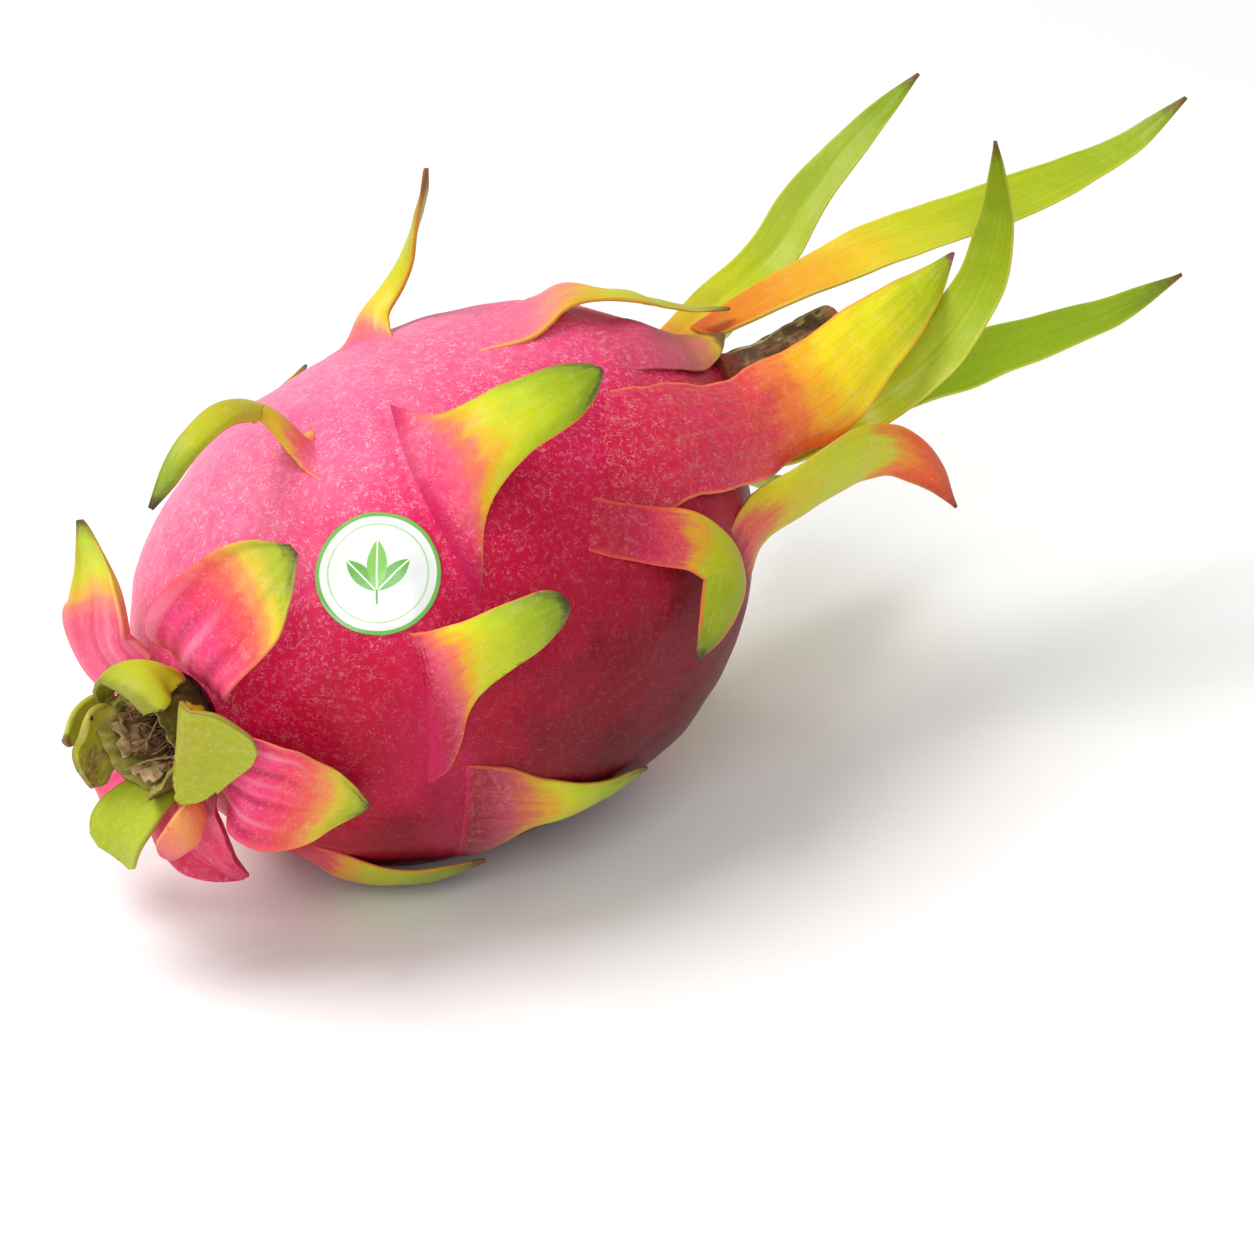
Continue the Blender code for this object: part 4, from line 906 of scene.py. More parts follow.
        width=[(0.0, 0.6), (0.2, 0.85), (0.45, 1.0), (0.65, 0.95), (0.85, 0.62), (1.0, 0.1)],
    ),
    "petal_bract_near": blade(
        PETAL, 23.5, [(-73.6, -16.5, 39.0), (-68.5, -23.0, 36.0), (-57.6, -29.6, 31.6)],
        base=(-71.8, -8.6, 39.4), face=(-0.9, -0.4, 0.0), cup=[(0, 20), (0.5, -16), (1, 10)], rows=12, cols=7,
        width=[(0.0, 0.5), (0.2, 0.8), (0.45, 1.0), (0.65, 0.84), (0.85, 0.44), (1.0, 0.06)],
    ),
    "petal_bract_far": blade(
        PETAL, 21.0, [(-72.0, 15.5, 50.5), (-70.6, 19.0, 59.0), (-70.2, 24.4, 71.3)],
        base=(-71.2, 8.6, 47.0), face=(-0.9, 0.3, 0.0), cup=[(0, 20), (0.5, -20), (1, 10)], rows=12, cols=7,
        width=[(0.0, 0.5), (0.2, 0.8), (0.42, 1.0), (0.6, 0.8), (0.75, 0.5), (0.88, 0.26), (1.0, 0.05)],
    ),
    "petal_bract_low": blade(
        PETAL, 17.0, [(-73.6, -3.5, 26.0), (-71.8, -7.5, 18.6), (-68.4, -10.5, 15.4)],
        base=(-71.0, -2.0, 33.4), face=(-0.9, 0.0, -0.1), cup=[(0, 20), (0.5, 30), (1, 20)], rows=12, cols=7,
        width=[(0.0, 0.62), (0.2, 0.86), (0.45, 1.0), (0.65, 0.92), (0.85, 0.6), (1.0, 0.2)],
    ),
    "petal_bract_low_far": blade(
        PETAL, 16.0, [(-73.5, 16.0, 27.5), (-70.5, 24.0, 20.5), (-63.0, 30.0, 15.0)],
        base=(-71.0, 7.6, 36.2), face=(-0.9, 0.3, -0.1), cup=[(0, 20), (0.5, -20), (1, 10)], rows=12, cols=7,
    ),
    # -- navel bracts: the thick dried ring round the hollow at the flower end
    "navel_bract_top": blade(
        NAVEL, 25.0, [(-77.0, 2.8, 54.0), (-81.5, 3.4, 54.6), (-84.8, 3.8, 53.6)],
        base=(-72.0, 2.0, 51.4), face=(0.0, 0.28, 1.0), cup=[(0, 70), (0.5, 120), (1, 135)], rows=9, cols=9,
        width=[(0.0, 0.42), (0.35, 0.74), (0.7, 1.0), (1.0, 0.9)],
    ),
    "navel_bract_near": blade(
        NAVEL, 20.0, [(-78.5, -10.4, 46.0), (-82.0, -12.0, 47.0), (-81.4, -15.0, 46.0), (-77.4, -19.4, 41.4)],
        base=(-74.0, -8.0, 45.0), face=(0.0, -1.0, 0.0), cup=[(0, 40), (0.5, 15), (1, 30)], rows=11, cols=7,
        width=[(0.0, 0.4), (0.3, 0.6), (0.5, 0.78), (0.66, 0.96), (0.8, 1.0), (0.92, 0.82), (1.0, 0.45)],
    ),
    "navel_bract_low": blade(
        NAVEL, 14.0, [(-77.0, -0.6, 32.2), (-81.5, -0.2, 30.0), (-85.2, 0.8, 26.4), (-86.0, 1.4, 22.0)],
        base=(-72.8, -0.6, 35.4), face=(0.0, 0.0, -1.0), cup=[(0, 50), (0.5, 55), (1, 40)], rows=10, cols=7,
        width=[(0.0, 0.5), (0.4, 0.85), (0.75, 1.0), (0.92, 0.9), (1.0, 0.6)],
    ),
    "navel_bract_far": blade(
        NAVEL, 16.0, [(-77.5, 9.6, 40.6), (-83.0, 9.8, 39.6), (-87.8, 8.2, 38.4)],
        base=(-74.0, 8.4, 42.2), face=(0.0, 1.0, 0.0), cup=[(0, 60), (1, 90)], rows=9, cols=8,
        width=[(0.0, 0.45), (0.4, 0.85), (0.75, 1.0), (1.0, 0.75)],
    ),
    "navel_bract_outer": blade(
        NAVEL, 9.0, [(-77.5, 13.6, 43.2), (-82.0, 14.0, 41.8), (-86.0, 13.0, 39.4)],
        base=(-75.0, 12.6, 44.2), face=(0.0, 1.0, 0.2), cup=[(0, 40), (1, 60)], rows=8, cols=5,
        width=[(0.0, 0.6), (0.4, 0.95), (0.75, 1.0), (1.0, 0.3)],
    ),
    "navel_bract_small": blade(
        NAVEL, 10.0, [(-79.4, -10.8, 29.9), (-82.4, -10.6, 27.4), (-83.6, -9.0, 25.2)],
        base=(-75.8, -9.0, 31.8), face=(-0.45, -0.75, -0.2), cup=[(0, 30), (1, 60)], rows=8, cols=5,
        width=[(0.0, 0.6), (0.5, 1.0), (0.8, 0.9), (1.0, 0.4)],
    ),
}


# --------------------------------------------------------------------- looks
RISE = [(0.0, -0.35), (0.03, -0.1), (0.09, 0.35), (0.2, 0.75), (0.5, 1.0), (1.0, 1.0)]
RISE_SOFT = [(0.0, -0.5), (0.06, -0.12), (0.2, 0.4), (0.4, 0.9), (1.0, 1.0)]

BASE = dict(
    res=(110, 35), rise=RISE, ribs=0.0, rib_height=0.0, rib_highlight=0.0, rib_groove_shade=0.0, relief=0.03, lump=0.15,
    grain=6.0, edge_shift=0.10, lean=0.0, streak=0.16, drift=0.16, veins=0.0, vein_depth=0.0, blend=0.16,
    mottle=0.10, marks=0.10, rim=(232, 132, 48), rim_width=0.6, rim_amount=0.4, nicks=0.0,
    tip=(74, 44, 34), tip_from=0.94, tip_soft=0.05, tip_amount=0.85, crease=0.0, brown=0.0,
    rough=0.36, coat=0.05, sss=0.04,
)

TONGUE_TOP = [
    (0.0, (224, 46, 104)), (0.14, (230, 68, 118)), (0.24, (232, 92, 120)), (0.32, (232, 116, 84)),
    (0.40, (226, 168, 66)), (0.48, (204, 200, 56)), (0.62, (178, 196, 46)), (0.78, (148, 176, 40)),
    (0.92, (118, 150, 36)), (1.0, (92, 110, 34)),
]
TONGUE_LOW = [
    (0.0, (206, 40, 90)), (0.2, (220, 80, 90)), (0.35, (222, 130, 70)), (0.5, (206, 176, 70)), (0.75, (160, 178, 60)), (1.0, (110, 130, 40)),
]
PETAL_TOP = [
    (0.0, (176, 14, 66)), (0.12, (214, 34, 100)), (0.36, (232, 60, 120)), (0.54, (234, 62, 98)),
    (0.65, (230, 88, 80)), (0.73, (228, 138, 84)), (0.80, (208, 184, 92)), (0.89, (160, 176, 58)), (1.0, (112, 130, 42)),
]
PETAL_LOW = [
    (0.0, (222, 70, 120)), (0.3, (230, 90, 130)), (0.55, (232, 140, 100)), (0.7, (206, 200, 90)), (0.85, (150, 180, 60)), (1.0, (110, 130, 44)),
]
LEAF_TOP = [
    (0.0, (222, 150, 70)), (0.1, (212, 182, 66)), (0.25, (192, 196, 58)), (0.45, (160, 182, 44)), (0.7, (140, 170, 38)),
    (0.9, (122, 156, 36)), (1.0, (98, 128, 34)),
]
LEAF_LOW = [
    (0.0, (230, 190, 120)), (0.2, (214, 214, 110)), (0.5, (190, 212, 90)), (0.8, (160, 196, 66)), (1.0, (120, 150, 50)),
]
GREENISH = srgb(98, 146, 34)


def look(*sets, **more):
    d = dict(BASE)
    for a in (*sets, more):
        d.update(a)
    return d


TONGUES = dict(top=TONGUE_TOP, low=TONGUE_LOW, relief=0.035, lump=0.12)
PETALS = dict(
    top=PETAL_TOP, low=PETAL_LOW, res=(110, 61), ribs=2.2, rib_height=0.34, rib_highlight=0.34, rib_groove_shade=0.40,
    grain=7.0, edge_shift=0.06, streak=0.05, drift=0.10, blend=0.0, rim=(240, 120, 84), rim_width=0.7, rim_amount=0.25, marks=0.16,
    tip=(70, 60, 34), nicks=0.0, lump=0.25, relief=0.05,
)
LEAVES = dict(
    top=LEAF_TOP, low=LEAF_LOW, res=(150, 33), veins=9.0, vein_depth=0.32, blend=0.0, grain=9.0, edge_shift=0.0, streak=0.10,
    rim=(226, 214, 96), rim_width=0.4, rim_amount=0.35, marks=0.04, tip=(112, 66, 40), tip_from=0.93, tip_soft=0.06,
    lump=0.12, relief=0.05, vein_colour=GREENISH, rough=0.34, sss=0.10, mottle=0.12,
)

LOOKS = {
    "side_bract_upper_near": look(TONGUES, crease=0.15, res=(140, 61), tip=(66, 48, 58), tip_from=0.96, edge_shift=0.15, rough=0.34, blend=0.30, rim_amount=0.55),
    "side_bract_middle_near": look(TONGUES, crease=0.14, res=(130, 55), edge_shift=0.10, tip=(60, 50, 30), nicks=0.5, blend=0.40),
    "side_bract_low_near": look(TONGUES, crease=0.09, edge_shift=0.10, tip=(130, 60, 60), tip_from=0.93, blend=0.50),
    "side_bract_top_curled": look(
        {**TONGUES, "top": [(0.0, (226, 60, 110)), (0.1, (232, 96, 96)), (0.2, (216, 170, 80)), (0.34, (186, 172, 62)), (0.7, (176, 178, 58)), (0.88, (120, 152, 44)), (1.0, (96, 100, 40))],
           "low": [(0.0, (206, 40, 90)), (0.14, (222, 100, 80)), (0.25, (190, 160, 60)), (0.6, (150, 140, 50)), (1.0, (100, 100, 40))]},
        crease=0.0, res=(140, 41), drift=0.10, blend=0.10, rim=(226, 170, 70), rim_width=0.6),
    "side_bract_top_upright": look({**TONGUES, "top": [(0.0, (228, 60, 116)), (0.14, (232, 110, 110)), (0.28, (220, 196, 90)), (0.5, (190, 196, 70)), (0.75, (176, 180, 62)), (0.9, (150, 130, 60)), (1.0, (130, 84, 56))]}, res=(130, 31), tip=(134, 78, 52), tip_from=0.84, tip_soft=0.10, blend=0.12),
    "side_bract_shoulder_near": look(
        {**TONGUES, "top": [(0.0, (206, 40, 84)), (0.3, (200, 40, 80)), (0.44, (206, 66, 76)), (0.52, (206, 150, 60)), (0.58, (176, 176, 44)), (0.8, (140, 160, 40)), (1.0, (104, 120, 36))],
           "low": [(0.0, (180, 20, 66)), (0.45, (206, 90, 50)), (0.6, (166, 150, 44)), (1.0, (110, 120, 36))]},
        blend=0.5, rim=(226, 84, 52), rim_width=0.8, rim_amount=0.7, edge_shift=0.03, rise=RISE_SOFT),
    "side_bract_upper_far": look(TONGUES, crease=0.03),
    "side_bract_middle_far": look(TONGUES, crease=0.03),
    "side_bract_low_far": look(TONGUES, crease=0.02),
    "side_bract_shoulder_far": look(TONGUES, crease=0.02),
    "belly_bract_near": look({**TONGUES, "top": [(0.0, (196, 30, 74)), (0.2, (208, 60, 84)), (0.34, (206, 150, 70)), (0.45, (170, 180, 54)), (0.8, (132, 156, 44)), (1.0, (110, 110, 40))], "low": [(0.0, (206, 40, 90)), (0.35, (214, 70, 100)), (0.6, (200, 120, 80)), (0.8, (150, 160, 60)), (1.0, (120, 110, 44))]}, tip=(116, 72, 40), tip_from=0.9),
    "belly_bract_far": look(TONGUES),
    "belly_bract_stem_end": look(TONGUES),
    "crown_bract_near": look(
        top=[(0.0, (206, 30, 74)), (0.30, (206, 36, 76)), (0.42, (218, 60, 70)), (0.50, (234, 112, 58)), (0.575, (246, 172, 44)), (0.65, (244, 214, 40)), (0.76, (224, 216, 40)), (0.88, (176, 194, 36)), (1.0, (136, 164, 38))],
        low=[(0.0, (190, 30, 70)), (0.4, (206, 70, 60)), (0.6, (222, 150, 60)), (0.75, (196, 190, 60)), (1.0, (120, 150, 50))],
        res=(190, 61), rise=RISE, blend=0.30, veins=8.0, vein_depth=0.22, grain=7.0, edge_shift=-0.02, lean=0.02, streak=0.10, drift=0.10,
        rim=(238, 134, 58), rim_width=0.8, rim_amount=0.6, marks=0.16, tip=(150, 60, 92), tip_from=0.965, tip_soft=0.02, lump=0.2, relief=0.04, vein_colour=srgb(150, 120, 30), mottle=0.10),
    "crown_bract_top": look(
        top=[(0.0, (232, 80, 132)), (0.18, (236, 104, 140)), (0.3, (236, 140, 110)), (0.42, (230, 186, 92)), (0.55, (204, 206, 84)), (0.8, (166, 190, 60)), (1.0, (120, 140, 50))],
        low=[(0.0, (222, 80, 110)), (0.3, (236, 160, 60)), (0.5, (226, 196, 60)), (1.0, (150, 170, 60))],
        res=(150, 45), rise=RISE_SOFT, blend=0.22, veins=6.0, vein_depth=0.12, rim=(236, 178, 60), rim_width=0.9, rim_amount=0.7, tip=(120, 90, 50), tip_from=0.95, lump=0.25),
    "crown_bract_inner": look(
        top=[(0.0, (206, 50, 96)), (0.35, (196, 60, 100)), (0.6, (190, 80, 104)), (0.8, (206, 120, 90)), (0.92, (214, 180, 70)), (1.0, (150, 110, 60))],
        low=[(0.0, (160, 20, 60)), (0.6, (150, 20, 50)), (1.0, (150, 90, 50))],
        res=(110, 45), rise=RISE_SOFT, blend=0.5, rim=(196, 110, 96), rim_width=0.6, tip=(112, 74, 44), tip_from=0.86, tip_soft=0.08, lump=0.2),
    "crown_bract_arched": look(
        top=[(0.0, (206, 40, 76)), (0.12, (214, 90, 70)), (0.24, (206, 186, 60)), (0.42, (190, 200, 56)), (0.58, (200, 196, 56)), (0.68, (232, 130, 36)), (0.8, (232, 82, 28)), (1.0, (190, 50, 34))],
        low=[(0.0, (206, 80, 60)), (0.4, (232, 100, 40)), (0.7, (226, 70, 36)), (1.0, (190, 50, 40))],
        res=(150, 35), veins=5.0, vein_depth=0.15, blend=0.1, rim=(206, 170, 70), lump=0.15, tip=(120, 60, 44)),
    "crown_bract_far": look({**LEAVES, "top": [(0.0, (222, 60, 110)), (0.25, (226, 90, 100)), (0.4, (234, 160, 80)), (0.55, (204, 200, 70)), (1.0, (130, 160, 50))]}, ),
    "crown_bract_low": look({**LEAVES, "top": [(0.0, (206, 40, 90)), (0.25, (216, 70, 90)), (0.4, (230, 140, 70)), (0.55, (200, 196, 66)), (1.0, (130, 160, 50))]}, ),
    "crown_leaf_rear": look(LEAVES),
    "crown_leaf_middle": look({**LEAVES, "top": [(0.0, (206, 84, 20)), (0.08, (214, 122, 18)), (0.2, (220, 156, 20)), (0.31, (216, 184, 34)), (0.42, (190, 192, 50)), (0.6, (160, 182, 44)), (0.85, (138, 168, 38)), (1.0, (112, 138, 36))]}, ),
    "crown_leaf_upright": look({**LEAVES, "veins": 7.0, "vein_depth": 0.45}),
    "crown_leaf_front": look({**LEAVES, "top": [(0.0, (206, 200, 96)), (0.2, (176, 196, 76)), (0.45, (150, 190, 60)), (0.8, (136, 178, 50)), (1.0, (100, 130, 50))]}, ),
    "crown_leaf_far": look(LEAVES),
    "crown_leaf_low": look(LEAVES),
    "petal_bract_top": look({**PETALS, "res": (130, 71)}, lean=0.06, edge_shift=0.07),
    "petal_bract_near": look({**PETALS, "res": (130, 71), "rib_groove_shade": 0.65, "ribs": 3.2}, lean=-0.03),
    "petal_bract_far": look({**PETALS, "top": [(0.0, (222, 60, 120)), (0.2, (236, 90, 136)), (0.42, (236, 84, 120)), (0.53, (236, 120, 110)), (0.62, (232, 176, 100)), (0.72, (206, 210, 96)), (0.88, (170, 196, 66)), (1.0, (130, 130, 50))]}, ),
    "petal_bract_low": look({**PETALS, "top": [(0.0, (206, 50, 96)), (0.3, (222, 70, 106)), (0.7, (216, 50, 96)), (1.0, (190, 26, 80))], "low": [(0.0, (206, 40, 90)), (1.0, (190, 26, 80))]}, rim_width=0.0, tip_from=1.0),
    "petal_bract_low_far": look(PETALS),
    "navel_bract_top": look(
        top=[(0.0, (216, 90, 70)), (0.14, (206, 180, 80)), (0.3, (190, 196, 76)), (0.6, (176, 186, 62)), (0.85, (160, 172, 62)), (1.0, (136, 136, 56))],
        low=[(0.0, (120, 110, 44)), (0.5, (150, 150, 60)), (1.0, (140, 150, 66))],
        res=(70, 61), blend=0.0, rim=(150, 110, 60), rim_width=0.5, rim_amount=0.7, nicks=0.8, tip_from=1.0, lump=0.35, relief=0.06, rough=0.44, coat=0.04, brown=0.5, edge_shift=0.1, marks=0.05),
    "navel_bract_near": look(
        top=[(0.0, (206, 200, 64)), (0.3, (232, 222, 70)), (0.55, (218, 216, 66)), (0.8, (176, 194, 56)), (1.0, (150, 172, 50))],
        low=[(0.0, (150, 140, 60)), (1.0, (160, 170, 70))],
        res=(80, 51), blend=0.0, rim=(120, 80, 46), rim_width=0.35, rim_amount=0.6, nicks=1.0, tip_from=1.0, lump=0.3, relief=0.05, rough=0.38, mottle=0.2, marks=0.14, edge_shift=0.06),
    "navel_bract_low": look(
        top=[(0.0, (120, 110, 50)), (0.3, (150, 156, 60)), (0.6, (172, 190, 74)), (0.9, (162, 186, 66)), (1.0, (140, 150, 60))],
        low=[(0.0, (170, 150, 70)), (0.5, (160, 180, 70)), (1.0, (150, 170, 60))],
        res=(80, 45), blend=0.0, rim=(150, 120, 60), rim_width=0.5, nicks=0.8, tip_from=1.0, lump=0.4, relief=0.06, rough=0.42, mottle=0.25, marks=0.1, edge_shift=0.0),
    "navel_bract_far": look(
        top=[(0.0, (150, 120, 60)), (0.4, (170, 150, 76)), (0.8, (176, 176, 90)), (1.0, (150, 140, 70))],
        low=[(0.0, (150, 130, 66)), (0.5, (176, 166, 76)), (1.0, (180, 186, 86))],
        res=(80, 45), blend=0.0, rim=(150, 110, 70), rim_width=0.5, nicks=1.0, tip_from=1.0, lump=0.5, relief=0.10, rough=0.5, coat=0.0, brown=0.8, dry=lambda u, v: 0.35 + 0.3 * u + 0 * v),
    "navel_bract_outer": look(
        top=[(0.0, (150, 150, 60)), (0.4, (168, 190, 74)), (1.0, (150, 176, 66))],
        low=[(0.0, (140, 150, 60)), (0.5, (170, 190, 76)), (1.0, (150, 170, 70))],
        res=(60, 31), blend=0.0, rim=(150, 110, 60), rim_width=0.4, nicks=0.6, tip_from=0.9, tip=(120, 70, 44), lump=0.3, relief=0.05, rough=0.42, mottle=0.25),
    "navel_bract_small": look(
        top=[(0.0, (196, 60, 70)), (0.3, (232, 120, 76)), (0.6, (238, 150, 96)), (0.85, (228, 110, 100)), (1.0, (206, 70, 90))],
        low=[(0.0, (196, 60, 70)), (1.0, (222, 120, 90))],
        res=(70, 41), blend=0.0, rim=(236, 170, 90), rim_width=0.5, nicks=0.3, tip_from=1.0, lump=0.3, rough=0.3, coat=0.3, marks=0.2),
}


WORLD = 0.47
LIGHTS = [
    # name, place, target, size, power, colour
    ("key", (-0.80, 0.80, 2.10), (0.0, 0.0, 0.05), 1.5, 45.0, (1.0, 0.99, 0.98)),
    ("front", (-1.35, -1.05, 1.25), (0.0, 0.0, 0.05), 1.3, 15.0, (1.0, 1.0, 1.0)),
]

# Where the visible blades differ from the plain ones: the finish of their form.
FORM = {
    "side_bract_upper_near": dict(
        root=(-36.5, 33.0), slant=6.0, hold=0.34, flesh=1.1,
        width=[(0.0, 44.0), (0.06, 37.0), (0.13, 29.5), (0.22, 22.5), (0.34, 17.0), (0.5, 13.8), (0.75, 11.6), (0.88, 8.6), (0.96, 4.6), (1.0, 1.4)],
    ),
    "side_bract_middle_near": dict(
        width=[(0.0, 26.0), (0.08, 22.5), (0.18, 18.0), (0.32, 14.2), (0.5, 11.6), (0.75, 10.2), (0.9, 8.2), (0.97, 5.2), (1.0, 2.4)], flesh=1.1,
    ),
    "side_bract_low_near": dict(flesh=1.0),
    "petal_bract_low": dict(roll=0.35, ripple=0.6),
    "side_bract_top_curled": dict(roll=-0.25),
    "petal_bract_top": dict(roll=0.16, ripple=0.25),
    "petal_bract_near": dict(roll=0.22, ripple=0.35),
    "petal_bract_far": dict(roll=0.14, ripple=0.5),
    "petal_bract_low_far": dict(roll=0.2, ripple=0.4),
    "crown_bract_near": dict(roll=0.05, ripple=0.15, flesh=0.9),
    "crown_bract_top": dict(ripple=0.2),
}

SINK = {"side_bract_upper_near": (1.0, 0.8), "side_bract_middle_near": (0.9, 0.7), "side_bract_low_near": (0.6, 0.5),
        "crown_bract_near": (0.15, 0.2), "crown_bract_top": (0.0, 0.4), "crown_bract_inner": (0.0, 0.2),
        "side_bract_shoulder_near": (0.0, 0.2), "crown_bract_arched": (0.2, 0.3)}


def root_line(b, tree):
    s = middle({**b, "thick": [(0.0, 0.3), (1.0, 0.3)]}, tree, 40, 15, [(0.0, 0.0), (1.0, 0.0)])
    return s["grid"][0]


def tube(points, radii, sides, bump=None, flat=1.0):
    """A closed tube through the points. bump(i, angles) scales each ring."""
    p = np.array(points, float)
    t = unit(np.gradient(p, axis=0))
    n = unit(np.cross(t[0], (0.13, 1.0, 0.31)))
    rings, uv = [], []
    a = np.arange(sides) * 2 * math.pi / sides
    run = np.concatenate([[0.0], np.cumsum(np.linalg.norm(np.diff(p, axis=0), axis=1))])
    for i in range(len(p)):
        n = unit(n - t[i] * np.dot(n, t[i]))
        m = np.cross(t[i], n)
        r = radii[i] * (bump(i, a) if bump else np.ones(sides))
        rings.append(p[i] + (r * flat)[:, None] * np.cos(a)[:, None] * n + r[:, None] * np.sin(a)[:, None] * m)
        uv.append(np.stack([np.full(sides, run[i]), a], -1))
    return np.concatenate(rings), ring_faces(len(p), sides), np.concatenate(uv)


def join(parts):
    verts, faces, attrs, base = [], [], {}, 0
    for v, f, a in parts:
        verts.append(v)
        faces += [tuple(i + base for i in q) for q in f]
        for k, x in a.items():
            attrs.setdefault(k, []).append(x)
        base += len(v)
    return np.concatenate(verts), faces, {k: np.concatenate(x) for k, x in attrs.items()}


def stem_piece():
    a, b = np.array(STEM_BASE) + (-6.6, -1.6, 1.2), np.array(STEM_TIP)
    n = 90
    v = np.linspace(0.0, 1.0, n)
    bow = np.sin(v * math.pi)[:, None] * np.array([0.0, 0.3, -0.6])
    pts = a + (b - a) * v[:, None] + bow + 0.12 * np.stack([0 * v, np.sin(v * 11), np.cos(v * 9)], -1)
    radii = STEM_RADIUS * curve([(0, 1.45), (0.08, 1.2), (0.2, 1.0), (0.5, 0.93), (0.85, 1.0), (0.94, 1.03), (0.985, 0.98), (1, 0.86)], v)

    def bark(i, ang):
        q = np.stack([np.full_like(ang, v[i] * 27.0), np.cos(ang) * 2.7, np.sin(ang) * 2.7], -1)
        ridges = 0.06 * np.cos(4 * ang + 0.4 + v[i] * 2) + 0.03 * np.cos(9 * ang + v[i] * 5)
        crack = 0.05 * wob(q * (0.45, 1.0, 1.0), 1.7, 21, 9) + 0.035 * wob(q, 4.0, 22)
        return 1.0 + (ridges + crack) * smooth((1.0 - v[i]) / 0.03)

    verts, faces, uv = tube(pts, radii, 72, bark)
    # a cut end that dishes in a little
    last = verts[-72:]
    mid = last.mean(0)
    d = unit(b - a)
    extra = [mid + (last - mid) * f - d * s for f, s in ((0.86, -0.12), (0.6, 0.25), (0.3, 0.4))]
    faces = faces[:-1]
    base = len(verts)
    verts = np.concatenate([verts, *extra])
    rings = [base - 72, base, base + 72, base + 144]
    for p0, p1 in zip(rings, rings[1:]):
        faces += [(p0 + j, p0 + (j + 1) % 72, p1 + (j + 1) % 72, p1 + j) for j in range(72)]
    faces.append(tuple(range(base + 144, base + 216)))
    run = np.concatenate([uv[:, 0] / uv[:, 0].max(), np.full(216, 1.0)])
    cut = np.concatenate([np.zeros(len(uv)), np.ones(216)])
    cut[len(uv) - 72:len(uv)] = 0.6
    ang = np.concatenate([uv[:, 1], np.tile(uv[-72:, 1], 3)])
    return verts, flip_out(verts, faces), {"along": run, "cut": cut, "round": ang}


def stem_material():
    g = Graph("stem_bark")
    v, cut = g.attr("along"), g.attr("cut")
    fibre = g.noise(g.scaled(g.pos, (240.0, 1500.0, 1500.0)), 1.0, 4.0, 0.7)
    blot = g.noise(g.pos, 260.0, 4.0, 0.65)
    # painted light and shade: the bark colour follows how the surface faces the key light, darker where it faces up
    # towards it; cracks show only on the side facing away
    side = g.dot(g.node("ShaderNodeNewGeometry").outputs["Normal"], (-0.35, 0.35, 0.85))
    bark = g.ramp(g.sum(g.mul(fibre, 0.6), g.mul(blot, 0.5)), [(0.3, (70, 42, 28)), (0.45, (116, 78, 52)), (0.58, (164, 122, 84)), (0.72, (206, 170, 126)), (0.9, (232, 208, 166))])
    dark = g.ramp(blot, [(0.3, (62, 42, 32)), (0.5, (96, 70, 52)), (0.7, (146, 116, 84))])
    colour = g.mix(g.step(side, -0.05, 0.45), bark, dark)
    # painted highlight: a pale band where the bark faces the key light at about 0.8
    highlight_band = g.step(g.math("ABSOLUTE", g.sum(side, -0.80)), 0.13, 0.04)
    colour = g.mix(g.mul(highlight_band, g.fma(fibre, 0.6, 0.1)), colour, srgb(214, 206, 132))
    crack = g.mul(g.step(g.math("ABSOLUTE", g.sum(g.noise(g.scaled(g.pos, (420.0, 900.0, 900.0)), 1.0, 2.0, 0.6), -0.5)), 0.030, 0.0), g.step(side, 0.2, -0.2))
    colour = g.mix(g.mul(crack, 0.8), colour, srgb(50, 32, 24))
    colour = g.mix(g.mul(g.step(g.sum(v, g.fma(blot, 0.2, -0.1)), 0.24, 0.04), 0.85), colour, srgb(136, 50, 34))
    colour = g.mix(g.mul(g.step(v, 0.925, 0.965), 0.8), colour, srgb(206, 118, 92))
    colour = g.mix(g.step(cut, 0.3, 0.8), colour, g.ramp(g.noise(g.pos, 900.0, 3.0), [(0.3, (214, 112, 88)), (0.6, (240, 166, 134)), (0.8, (246, 196, 158))]))
    return g.finish(colour, 0.62, g.bump(g.sum(fibre, g.mul(crack, -0.8)), 0.6, 0.0003), spec=0.3)


